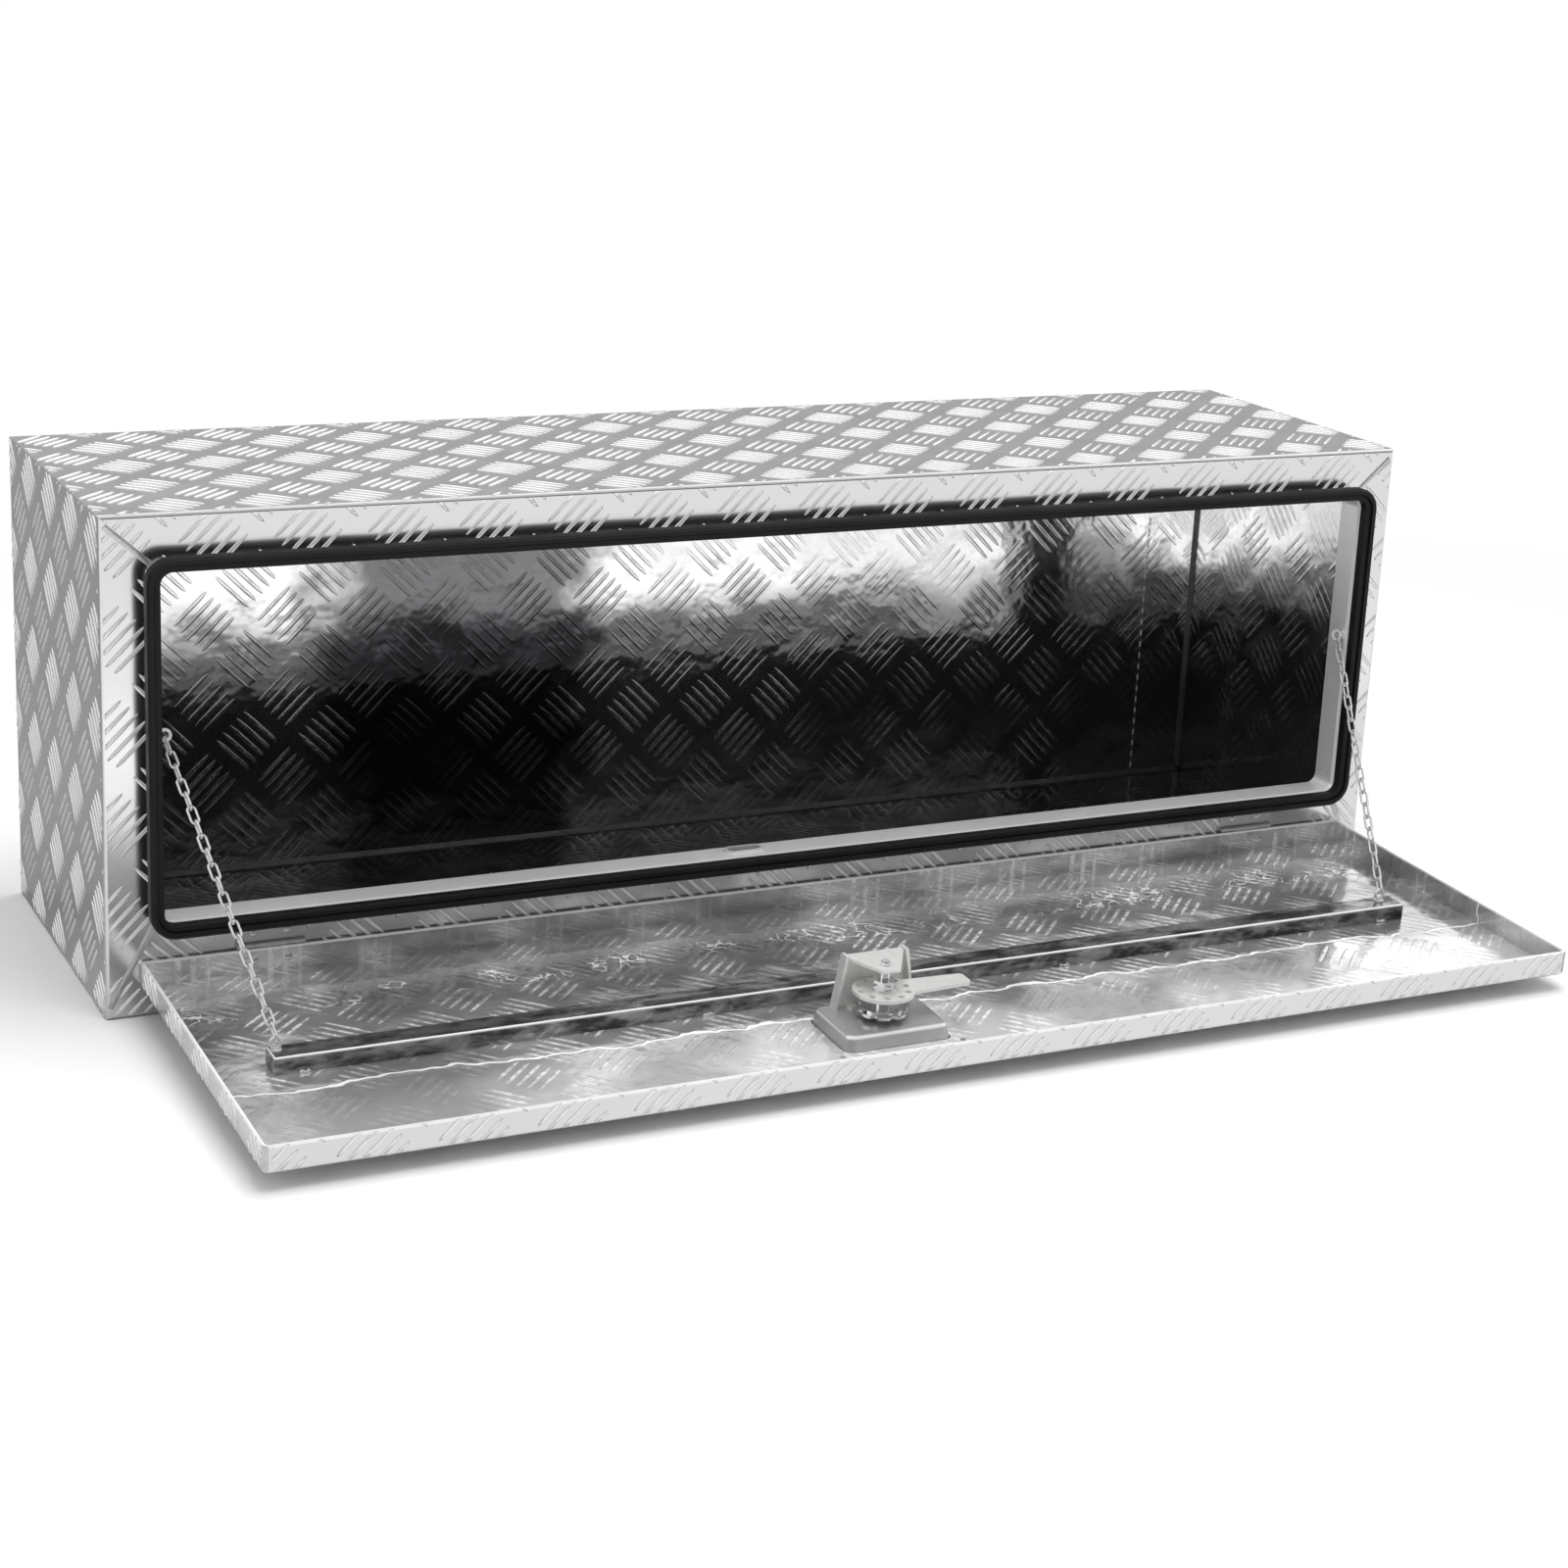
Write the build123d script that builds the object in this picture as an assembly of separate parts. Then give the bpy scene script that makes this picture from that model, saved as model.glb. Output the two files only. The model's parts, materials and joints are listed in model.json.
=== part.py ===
from build123d import *
import os
from math import acos, cos, degrees, hypot, pi, radians, sin, sqrt

# Underbody tool box in tread plate, with its drop-down door open on two chains.
# Millimetres. X runs along the box, Y from the front to the back, Z up.
# The origin is the centre of the box's base. box_eye_y and drain_y are measured
# backwards from the front plane of the box.

# Box shell
box_width = 1219.0
box_height = 412.0
box_depth = 318.0
box_sheet = 2.0
box_bend_radius = 3.0
mitre_rise = 4.0
cut_overrun = 5.0

# Door opening, measured at the inner face of the opening frame
opening_side_border = 42.5
opening_top_border = 42.0
opening_width = box_width - opening_side_border * 2
opening_bottom = 82.0
opening_top = box_height - opening_top_border
opening_corner_radius = 10.0
strip_thickness = 1.8
strip_back_reach = 17.0
strip_front_reach = 20.0
joggle_start = 8.0
joggle_end = 12.0
joggle_step = 2.0

# Rubber seal pushed on the front edge of the opening frame
seal_fit = 0.1
seal_leg = 1.9
seal_leg_reach = 9.0
seal_nose = 2.2
seal_bulb_width = 5.4
seal_bulb_length = 13.0
seal_bulb_wall = 1.3
seal_bulb_flat = 2.0
seal_joint_x = -50.0
seal_joint_gap = 0.5

# Oval rim of the drain slot on the lower strip of the opening frame
drain_x = -50.0
drain_length = 38.0
drain_width = 16.0
drain_rim = 2.0
drain_rim_height = 1.6
drain_lip = 1.2
drain_y = 6.5

# Door pan
door_side_overlap = 15.0
door_width = opening_width + door_side_overlap * 2
door_reach_cut = 65.0
door_reach = box_height - door_reach_cut
door_depth = 22.0
door_sheet = 2.0
door_bend_radius = 2.5
door_corner_radius = 5.0
door_droop_deg = 2.0
door_close_deg = 92.0
door_rim_height = 48.0

# Butt hinges
hinge_inset = 106.0
hinge_x = door_width / 2 - hinge_inset
hinge_length = 57.0
hinge_end_knuckle = 15.0
hinge_barrel_radius = 2.3
hinge_pin_radius = 1.2
hinge_leaf = 1.2
hinge_leaf_height = 19.0
hinge_running_clearance = 0.05
hinge_side_clearance = 0.3
hinge_leaf_corner = 3.0
hinge_barrel_gap = 0.2
hinge_flange_gap = 0.5

# Blind rivets
rivet_radius = 1.6
rivet_head_radius = 3.2
rivet_head_height = 1.1
rivet_tail_height = 0.6
hinge_rivet_spacing = 28.0
hinge_door_rivet_drop = 10.0
hinge_box_rivet_rise = 10.0

# Weld beads
mitre_bead_width = 5.0
mitre_bead_height = 0.6
mitre_bead_start = 4.0
inside_bead = 4.0
door_bead_height = 0.7
door_bead_span_deg = 60.0
tack_length = 14.0
tack_leg = 3.0
tack_end_inset = 24.0
tack_count = 4

# Stiffener channel on the door's inner face
channel_end_gap = 58.0
channel_half_length = door_width / 2 - channel_end_gap
channel_start = door_reach / 2
channel_shift = -6.5
channel_width = 23.0
channel_height = 14.5
channel_sheet = 1.5
channel_bend_radius = 2.0

# Chain eyes
eye_wire_radius = 1.4
eye_ring_radius = 4.2
eye_shank_radius = 1.4
eye_washer_radius = 4.4
eye_washer = 1.2
eye_ring_sink = 0.4
eye_nut_radius = 3.1
eye_nut_height = 2.6
eye_shank_beyond_nut = 1.0
box_eye_y = -3.3
box_eye_rise = 10.9
door_eye_back_inset = 9.5
left_eye_end_inset = 5.0
right_eye_end_inset = 18.0

# Chain
link_wire_radius = 1.0
link_outer_width = 8.4
link_gap = 0.3
links_per_chain = 21
links_in_upper_half = 10
links_in_lower_half = 9
chain_play = 0.3

# Latch dish, pressed into the door
latch_x = -51.5
latch_edge_gap = 83.0
latch_reach = door_reach - latch_edge_gap
dish_width = 96.0
dish_height = 70.0
dish_rise = 14.0
dish_taper = 3.0
dish_sheet = 1.2
dish_corner_radius = 8.0
dish_flange = 11.0
dish_cutout_gap = 0.4
gasket_thickness = 0.8
dish_edge_radius = 3.5
dish_rivet_inset = 5.5

# Latch bracket over the dish
bracket_sheet = 2.5
bracket_top_height = 58.0
bracket_foot_half_width = 36.0
bracket_top_half_width = 28.5
bracket_shift = 3.0
bracket_nose_half_width = 8.0
bracket_nose_reach = 12.0
bracket_foot_length = 9.0
bracket_foot_width = 17.0
bracket_foot_offset = 16.0
bracket_cheek = 7.0
bracket_cheek_rise = 2.0

# Latch spindle and what turns with it
spindle_radius = 4.2
spindle_neck_radius = 3.0
spindle_clearance = 0.05
spindle_end_above_bracket = 4.0
hub_radius = 10.0
hub_thickness = 2.8
hub_gap = 0.5
ear_thickness = 3.0
ear_radius = 4.3
fold_pin_height = 5.0
fold_pin_radius = 1.5
star_height = 18.0
star_thickness = 2.5
star_radius = 21.0
star_notch_radius = 3.2
star_notch_count = 8
detent_thickness = 2.0
detent_radius = 17.0
cam_height = 34.0
cam_thickness = 3.0
cam_size = 50.0
cam_corner_radius = 24.0
cam_arm_reach = 76.0
cam_arm_root = 27.0
cam_arm_tip = 18.0
cam_arm_corner = 4.0
cam_hole_circle = 20.0
cam_hole_radius = 2.7
cam_hole_count = 10
spacer_radius = 6.5
washer_radius = 9.0
washer_thickness = 1.5
nut_flats = 16.0
nut_height = 7.0
end_nut_flats = 8.0
end_nut_height = 2.6
swing_clearance = 2.0
strike_gap = 0.5

# Lock beside the spindle
lock_offset = 31.0
lock_radius = 5.5
lock_plug_radius = 3.6
lock_length = 10.0
lock_plug_clearance = 0.05
key_slot_width = 1.2
key_slot_length = 4.4
key_slot_depth = 5.0

# Folding T-handle
handle_arm = 25.0
handle_bar_radius = 4.0
handle_bar_length = 56.0
handle_stem_width = 5.0
handle_stem_thickness = 6.0
handle_side_clearance = 0.3
handle_hang_deg = 39.0

# Places worked out from the values above
front_y = -box_depth / 2
back_y = box_depth / 2
half_width = box_width / 2
opening_half = opening_width / 2
opening_mid_z = (opening_top + opening_bottom) / 2
opening_half_height = (opening_top - opening_bottom) / 2
axis_y = front_y - hinge_barrel_gap - hinge_barrel_radius
axis_z = door_rim_height + hinge_side_clearance + hinge_barrel_radius
door_back_y = axis_y - hinge_flange_gap
box_eye_z = axis_z + channel_start + box_eye_rise
skin_z = door_rim_height - door_depth
floor_z = skin_z + door_sheet
latch_y = door_back_y - latch_reach
closed_rim_y = axis_y - (axis_z - door_rim_height)
closed_skin_y = closed_rim_y - door_depth
closed_floor_y = closed_skin_y + door_sheet
seal_front_y = closed_floor_y + strike_gap
grip_end_share = 0.8


def block(x_low, x_high, y_low, y_high, z_low, z_high):
    size = (x_high - x_low, y_high - y_low, z_high - z_low)
    middle = ((x_low + x_high) / 2, (y_low + y_high) / 2, (z_low + z_high) / 2)
    return Pos(*middle) * Box(*size)


def upright(x, y, z_low, z_high, radius):
    return Pos(x, y, (z_low + z_high) / 2) * Cylinder(radius, z_high - z_low)


def along_x(x_low, x_high, y, z, radius):
    return Pos((x_low + x_high) / 2, y, z) * Rot(0, 90, 0) * Cylinder(radius, x_high - x_low)


def along_y(y_low, y_high, x, z, radius):
    return Pos(x, (y_low + y_high) / 2, z) * Rot(90, 0, 0) * Cylinder(radius, y_high - y_low)


def front_prism(outline, y_low, y_high):
    # An outline of (x, z) points, extruded from y_low to y_high.
    face = Plane(origin=(0, y_high, 0), x_dir=(1, 0, 0), z_dir=(0, -1, 0)) * make_face(
        Polyline(*outline, close=True))
    return extrude(face, y_high - y_low)


def all_of(shapes):
    # Separate solids that share one node.
    solids = [solid for shape in shapes for solid in shape.solids()]
    return Compound(children=solids)


def drooped(shape):
    # The door parts are drawn level, then hang by the droop about the hinge axis.
    pivot = Axis((0, axis_y, axis_z), (1, 0, 0))
    return all_of([solid.rotate(pivot, door_droop_deg) for solid in shape.solids()])


# Box shell

def box_shell():
    outer = block(-half_width, half_width, front_y, back_y, 0, box_height)
    outer = fillet(outer.faces().sort_by(Axis.Y)[0].edges(), box_bend_radius)
    inner = block(
        -half_width + box_sheet, half_width - box_sheet,
        front_y + box_sheet, back_y - box_sheet,
        box_sheet, box_height - box_sheet)
    inner = fillet(inner.faces().sort_by(Axis.Y)[0].edges(), box_bend_radius - box_sheet)
    mouth = Pos(0, front_y, opening_mid_z) * Rot(90, 0, 0) * extrude(
        RectangleRounded(
            opening_width + strip_thickness * 2,
            opening_top - opening_bottom + strip_thickness * 2,
            opening_corner_radius + strip_thickness),
        cut_overrun * 2, both=True)
    return outer - inner - mouth


def mitre_corner(side, at_top):
    # The mitre line's points: beyond the box, on its end, at the opening's corner and
    # in the middle of that corner's round.
    edge = side * (opening_half + strip_thickness)
    inward = side * (opening_corner_radius + strip_thickness)
    wall = side * half_width
    if at_top:
        outer_z, inner_z = box_height - mitre_rise, opening_top + strip_thickness
        round_z = opening_top - opening_corner_radius
    else:
        outer_z, inner_z = mitre_rise, opening_bottom - strip_thickness
        round_z = opening_bottom + opening_corner_radius
    return [
        (wall + side * cut_overrun, outer_z), (wall, outer_z), (edge, inner_z), (edge - inward, round_z)]


def panel_regions():
    # The four wrapped panels meet on planes from the box's corners to the opening's.
    left_low, left_high = mitre_corner(-1, False), mitre_corner(-1, True)
    right_low, right_high = mitre_corner(1, False), mitre_corner(1, True)
    beyond = half_width + cut_overrun
    ceiling = box_height + cut_overrun
    return {
        "top_panel": left_high + right_high[::-1] + [(beyond, ceiling), (-beyond, ceiling)],
        "bottom_panel": left_low + right_low[::-1] + [(beyond, -cut_overrun), (-beyond, -cut_overrun)],
        "left_end_panel": left_low + left_high[::-1],
        "right_end_panel": right_low + right_high[::-1],
    }


def box_panels():
    shell = box_shell()
    wrapped_depth = (front_y - cut_overrun, back_y - box_sheet)
    panels = {}
    for name, outline in panel_regions().items():
        panels[name] = shell & front_prism(outline, *wrapped_depth)
    panels["back_panel"] = block(-half_width, half_width, back_y - box_sheet, back_y, 0, box_height)
    return panels


def bead_between(start, end):
    # A low ground bead on the front face, from one (x, z) point to another.
    run = Vector(end[0] - start[0], 0, end[1] - start[1])
    length = run.length
    plane = Plane(
        origin=(start[0], front_y, start[1]), x_dir=Vector(0, 1, 0).cross(run.normalized()),
        z_dir=run.normalized())
    side = -1 if plane.y_dir.Y > 0 else 1
    half = mitre_bead_width / 2
    crown = (0, mitre_bead_height * side)
    outline = Line((-half, 0), (half, 0)) + ThreePointArc((half, 0), crown, (-half, 0))
    return extrude(plane * make_face(outline), length)


def front_mitre_welds():
    beads = []
    for side in (-1, 1):
        for at_top in (False, True):
            corner = mitre_corner(side, at_top)
            outer = Vector(corner[1][0], 0, corner[1][1])
            inner = Vector(corner[2][0], 0, corner[2][1])
            run = (inner - outer).normalized()
            start = outer + run * (mitre_bead_start + mitre_bead_width / 2)
            beads.append(bead_between((start.X, start.Z), (inner.X, inner.Z)))
    return all_of(beads)


def inside_corner_welds():
    # Fillet beads where the back panel meets the wrapped panels.
    x_wall = half_width - box_sheet
    y_wall = back_y - box_sheet
    low, high = box_sheet, box_height - box_sheet
    beads = []
    for side in (-1, 1):
        foot = (side * x_wall, y_wall)
        points = (foot, (foot[0] - side * inside_bead, y_wall), (foot[0], y_wall - inside_bead))
        face = Pos(0, 0, low + inside_bead) * make_face(Polyline(*points, close=True))
        beads.append(extrude(face, high - low - inside_bead * 2, dir=(0, 0, 1)))
    for z_wall, way in ((low, 1), (high, -1)):
        plane = Plane(origin=(-x_wall + inside_bead, 0, 0), x_dir=(0, 1, 0), z_dir=(1, 0, 0))
        points = ((y_wall, z_wall), (y_wall, z_wall + way * inside_bead), (y_wall - inside_bead, z_wall))
        face = plane * make_face(Polyline(*points, close=True))
        beads.append(extrude(face, (x_wall - inside_bead) * 2, dir=(1, 0, 0)))
    return all_of(beads)


# Rings round the door opening

def opening_ring(profile):
    # A profile of (backward from the front plane, outward from the opening's line)
    # points, carried round the opening: straight sides, and a quarter turn in each corner.
    run_x = opening_half - opening_corner_radius
    run_z = opening_half_height - opening_corner_radius
    centre = Vector(0, front_y, opening_mid_z)
    sides = (
        (Vector(1, 0, 0), Vector(0, 0, 1), run_x, opening_half_height),
        (Vector(0, 0, -1), Vector(1, 0, 0), run_z, opening_half),
        (Vector(-1, 0, 0), Vector(0, 0, -1), run_x, opening_half_height),
        (Vector(0, 0, 1), Vector(-1, 0, 0), run_z, opening_half),
    )
    ring = None
    for along, outward, run, reach in sides:
        start = centre + outward * reach - along * run
        end = start + along * (run * 2)
        outline = Polyline(*profile, close=True)
        straight = extrude(
            Plane(origin=start, x_dir=(0, 1, 0), z_dir=along) * make_face(outline), run * 2)
        corner_centre = end - outward * opening_corner_radius
        turn = revolve(
            Plane(origin=end, x_dir=(0, 1, 0), z_dir=along) * make_face(outline),
            Axis(corner_centre, (0, 1, 0)), 90)
        piece = straight + turn
        ring = piece if ring is None else ring + piece
    return ring


def opening_frame():
    back = strip_back_reach
    front = -strip_front_reach
    inner = ((back, 0), (-joggle_start, 0), (-joggle_end, joggle_step), (front, joggle_step))
    outer = [(y, out + strip_thickness) for y, out in reversed(inner)]
    ring = opening_ring(inner + tuple(outer))
    # The strike notch lets the latch arm turn up behind the strip's edge.
    arm_face_y = closed_skin_y + cam_height
    latch_z = axis_z + hinge_flange_gap + latch_reach
    rise = opening_top - latch_z
    swing = sqrt(cam_arm_reach ** 2 - rise ** 2)
    notch = block(
        latch_x - cam_arm_root / 2 - swing_clearance, latch_x + swing + swing_clearance,
        arm_face_y - strike_gap, front_y + strip_back_reach + cut_overrun,
        opening_top - cut_overrun, opening_top + strip_thickness + cut_overrun)
    slot = drain_slot(drain_length - drain_rim * 2, drain_width - drain_rim * 2, strip_thickness * 2)
    eye_holes = [box_eye_hole(side) for side in (-1, 1)]
    return ring - notch - slot - eye_holes[0] - eye_holes[1]


def opening_strips():
    # The frame's four lengths meet in the middle of the opening's round corners.
    frame = opening_frame()
    depth = (front_y - strip_front_reach - cut_overrun, front_y + strip_back_reach + cut_overrun)
    words = {
        "top_panel": "top", "bottom_panel": "bottom",
        "left_end_panel": "left", "right_end_panel": "right"}
    return {
        "opening_strip_" + words[name]: frame & front_prism(outline, *depth)
        for name, outline in panel_regions().items()}


def drain_slot(length, width, height):
    place = Pos(drain_x, front_y + drain_y, opening_bottom - strip_thickness - height / 2)
    return place * extrude(SlotOverall(length, width), height * 2)


def drain_rim_ring():
    # A pressed-in oval eyelet: a rim on the strip and a collar down through the slot.
    rim = Pos(drain_x, front_y + drain_y, opening_bottom) * extrude(
        SlotOverall(drain_length, drain_width), drain_rim_height)
    collar_gap = seal_fit * 2
    collar = Pos(drain_x, front_y + drain_y, opening_bottom - strip_thickness) * extrude(
        SlotOverall(
            drain_length - drain_rim * 2 - collar_gap, drain_width - drain_rim * 2 - collar_gap),
        strip_thickness)
    bore = Pos(drain_x, front_y + drain_y, opening_bottom - strip_thickness - cut_overrun) * extrude(
        SlotOverall(
            drain_length - (drain_rim + drain_lip) * 2, drain_width - (drain_rim + drain_lip) * 2),
        strip_thickness + drain_rim_height + cut_overrun * 2)
    top_edges = rim.edges().group_by(Axis.Z)[-1]
    return fillet(top_edges, drain_rim_height / 2) + collar - bore


def seal_joint_cut():
    low = opening_bottom - joggle_step * 2 - seal_leg * 2 - seal_bulb_width * 2
    return block(
        seal_joint_x - seal_joint_gap / 2, seal_joint_x + seal_joint_gap / 2,
        seal_front_y - cut_overrun, front_y, low, opening_mid_z)


def seal_grip():
    inner_face = joggle_step - seal_fit
    outer_face = joggle_step + strip_thickness + seal_fit
    tip = -strip_front_reach - seal_fit
    nose = tip - seal_nose
    heel = tip + seal_leg_reach - seal_nose
    profile = (
        (heel, inner_face - seal_leg), (nose + seal_leg / 2, inner_face - seal_leg), (nose, inner_face - seal_leg / 2),
        (nose, outer_face + seal_leg / 2), (nose + seal_leg / 2, outer_face + seal_leg),
        (heel, outer_face + seal_leg), (heel, outer_face), (tip, outer_face), (tip, inner_face),
        (heel, inner_face))
    return opening_ring(profile) - seal_joint_cut()


def seal_bulb():
    # A hollow bulb along the outer leg of the grip, level with the door's inner face.
    root = joggle_step + strip_thickness + seal_fit + seal_leg
    front = seal_front_y - front_y
    back = front + seal_bulb_length
    crown = root + seal_bulb_width
    flat = seal_bulb_flat
    wall = seal_bulb_wall
    outer = (
        (back, root), (front, root), (front, crown - flat), (front + flat, crown),
        (back - flat, crown), (back, crown - flat))
    inner = (
        (back - wall, root + wall), (front + wall, root + wall), (front + wall, crown - flat),
        (front + flat, crown - wall), (back - flat, crown - wall), (back - wall, crown - flat))
    return opening_ring(outer) - opening_ring(inner) - seal_joint_cut()


# Door

def door_panel():
    outer = block(-door_width / 2, door_width / 2, door_back_y - door_reach, door_back_y, skin_z, door_rim_height)
    outer = fillet(outer.edges().filter_by(Axis.Z), door_corner_radius)
    outer = fillet(outer.faces().sort_by(Axis.Z)[0].edges(), door_bend_radius)
    inner = block(
        -door_width / 2 + door_sheet, door_width / 2 - door_sheet,
        door_back_y - door_reach + door_sheet, door_back_y - door_sheet,
        floor_z, door_rim_height + cut_overrun)
    inner = fillet(inner.edges().filter_by(Axis.Z), door_corner_radius - door_sheet)
    cutout = Pos(latch_x, latch_y, skin_z - cut_overrun) * extrude(
        RectangleRounded(
            dish_width + dish_cutout_gap * 2, dish_height + dish_cutout_gap * 2,
            dish_corner_radius + dish_cutout_gap),
        door_sheet + cut_overrun * 2)
    pan = outer - inner - cutout
    for x, y in dish_rivet_places():
        pan -= upright(x, y, skin_z - cut_overrun, floor_z + cut_overrun, rivet_radius)
    for x in hinge_rivet_x():
        pan -= along_y(
            door_back_y - door_sheet - cut_overrun, door_back_y + cut_overrun,
            x, door_rim_height - hinge_door_rivet_drop, rivet_radius)
    return pan


def door_corner_welds():
    beads = []
    span = door_bead_span_deg
    for side_x, turn in ((1, 45), (-1, 135)):
        for side_y in (-1, 1):
            angle = turn * side_y
            x = side_x * (door_width / 2 - door_corner_radius)
            y = door_back_y - door_reach / 2 + side_y * (door_reach / 2 - door_corner_radius)
            arc = Pos(x, y, 0) * Rot(0, 0, angle - span / 2)
            r_in, r_out = door_corner_radius, door_corner_radius + door_bead_height
            half_way = radians(span / 2)
            full = radians(span)
            outline = (
                ThreePointArc(
                    (r_in, 0), (r_in * cos(half_way), r_in * sin(half_way)),
                    (r_in * cos(full), r_in * sin(full)))
                + Line((r_in * cos(full), r_in * sin(full)), (r_out * cos(full), r_out * sin(full)))
                + ThreePointArc(
                    (r_out * cos(full), r_out * sin(full)),
                    (r_out * cos(half_way), r_out * sin(half_way)), (r_out, 0))
                + Line((r_out, 0), (r_in, 0)))
            face = arc * make_face(outline)
            beads.append(extrude(Pos(0, 0, skin_z + door_bend_radius) * face, door_depth - door_bend_radius))
    return all_of(beads)


def channel_back_y():
    return door_back_y - channel_start


def channel_end_x(side):
    return channel_shift + side * channel_half_length


def stiffener_channel():
    back = channel_back_y()
    front = back - channel_width
    top = floor_z + channel_height
    left, right = channel_end_x(-1), channel_end_x(1)
    outer = block(left, right, front, back, floor_z, top)
    outer = fillet(outer.faces().sort_by(Axis.Z)[-1].edges(), channel_bend_radius)
    inner = block(
        left + channel_sheet, right - channel_sheet,
        front + channel_sheet, back - channel_sheet, floor_z - cut_overrun, top - channel_sheet)
    channel = outer - inner
    for side in (-1, 1):
        x, y = door_eye_place(side)
        channel -= upright(x, y, top - channel_sheet - cut_overrun, top + cut_overrun, eye_shank_radius)
    return channel


def stiffener_tack_welds():
    tacks = []
    run = (channel_half_length - tack_end_inset) * 2 / (tack_count - 1)
    for k in range(tack_count):
        x = channel_end_x(-1) + tack_end_inset + run * k
        for y, way in ((channel_back_y(), 1), (channel_back_y() - channel_width, -1)):
            plane = Plane(origin=(x - tack_length / 2, 0, 0), x_dir=(0, 1, 0), z_dir=(1, 0, 0))
            points = ((y, floor_z), (y + way * tack_leg, floor_z), (y, floor_z + tack_leg))
            tacks.append(extrude(plane * make_face(Polyline(*points, close=True)), tack_length, dir=(1, 0, 0)))
    return all_of(tacks)


# Hinges

def hinge_rivet_x():
    return [side * hinge_x + way * hinge_rivet_spacing / 2 for side in (-1, 1) for way in (-1, 1)]


def knuckle_spans(outer):
    # The box leaf has the two end knuckles, the door leaf the long one between them.
    half = hinge_length / 2
    shoulder = half - hinge_end_knuckle
    gap = hinge_side_clearance / 2
    if outer:
        return [(-half, -shoulder - gap), (shoulder + gap, half)]
    return [(-shoulder + gap, shoulder - gap)]


def hinge_leaf_solid(x_middle, on_box):
    half = hinge_length / 2
    if on_box:
        y_low, y_high = front_y - hinge_leaf, front_y
        z_low, z_high = axis_z, axis_z + hinge_leaf_height
        rivet_z = axis_z + hinge_box_rivet_rise
        free_z = z_high
    else:
        y_low, y_high = door_back_y, door_back_y + hinge_leaf
        z_low, z_high = axis_z - hinge_leaf_height, axis_z
        rivet_z = door_rim_height - hinge_door_rivet_drop
        free_z = z_low
    leaf = block(x_middle - half, x_middle + half, y_low, y_high, z_low, z_high)
    free_edges = leaf.edges().filter_by(Axis.Y).filter_by(lambda edge: abs(edge.center().Z - free_z) < hinge_leaf)
    leaf = fillet(free_edges, hinge_leaf_corner)
    for span in knuckle_spans(not on_box):
        leaf -= along_x(
            x_middle + span[0] - hinge_side_clearance, x_middle + span[1] + hinge_side_clearance,
            axis_y, axis_z, hinge_barrel_radius + hinge_side_clearance)
    for span in knuckle_spans(on_box):
        leaf += along_x(x_middle + span[0], x_middle + span[1], axis_y, axis_z, hinge_barrel_radius)
    leaf -= along_x(
        x_middle - half - cut_overrun, x_middle + half + cut_overrun,
        axis_y, axis_z, hinge_pin_radius + hinge_running_clearance)
    for way in (-1, 1):
        x = x_middle + way * hinge_rivet_spacing / 2
        leaf -= along_y(y_low - cut_overrun, y_high + cut_overrun, x, rivet_z, rivet_radius)
    return leaf


def hinge_pins():
    half = hinge_length / 2
    return all_of([
        along_x(side * hinge_x - half, side * hinge_x + half, axis_y, axis_z, hinge_pin_radius)
        for side in (-1, 1)])


def domed_rivet(base, outward, grip):
    # A shank of the grip's length under a domed head, and a low set tail behind.
    plane = Plane(origin=base, z_dir=outward)
    head_curve = (rivet_head_radius ** 2 + rivet_head_height ** 2) / (rivet_head_height * 2)
    ball = Pos(0, 0, rivet_head_height - head_curve) * Sphere(head_curve)
    half_head = rivet_head_height / 2
    dome = ball & (Pos(0, 0, half_head) * Cylinder(rivet_head_radius * 2, rivet_head_height))
    shank = Pos(0, 0, -grip / 2) * Cylinder(rivet_radius, grip)
    tail_radius = (rivet_radius + rivet_head_radius) / 2
    tail = Pos(0, 0, -grip - rivet_tail_height / 2) * Cylinder(tail_radius, rivet_tail_height)
    return plane.location * (dome + shank + tail)


def hinge_door_rivets():
    z = door_rim_height - hinge_door_rivet_drop
    return all_of([
        domed_rivet((x, door_back_y - door_sheet, z), (0, -1, 0), door_sheet + hinge_leaf)
        for x in hinge_rivet_x()])


def hinge_box_rivets():
    z = axis_z + hinge_box_rivet_rise
    return all_of([
        domed_rivet((x, front_y - hinge_leaf, z), (0, -1, 0), box_sheet + hinge_leaf)
        for x in hinge_rivet_x()])


def box_rivet_holes():
    z = axis_z + hinge_box_rivet_rise
    return [
        along_y(front_y - cut_overrun, front_y + box_sheet + cut_overrun, x, z, rivet_radius)
        for x in hinge_rivet_x()]


# Chain eyes and chains

def box_eye_hole(side):
    x = side * opening_half
    reach = strip_thickness + cut_overrun
    return along_x(x - reach, x + reach, front_y + box_eye_y, box_eye_z, eye_shank_radius)


def eye_ring_height():
    # From the eye's seat to the centre of its ring, which is sunk a little in the washer.
    return eye_washer + eye_ring_radius + eye_wire_radius - eye_ring_sink


def box_eye_centre(side):
    x = side * (opening_half - eye_ring_height())
    return Vector(x, front_y + box_eye_y, box_eye_z)


def door_eye_place(side):
    # The two eyes don't stand equally far from the channel's ends.
    inset = left_eye_end_inset if side < 0 else right_eye_end_inset
    return channel_end_x(side) - side * inset, channel_back_y() - door_eye_back_inset


def door_eye_centre(side):
    x, y = door_eye_place(side)
    z = floor_z + channel_height + eye_ring_height()
    return Vector(x, y, z)


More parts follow.
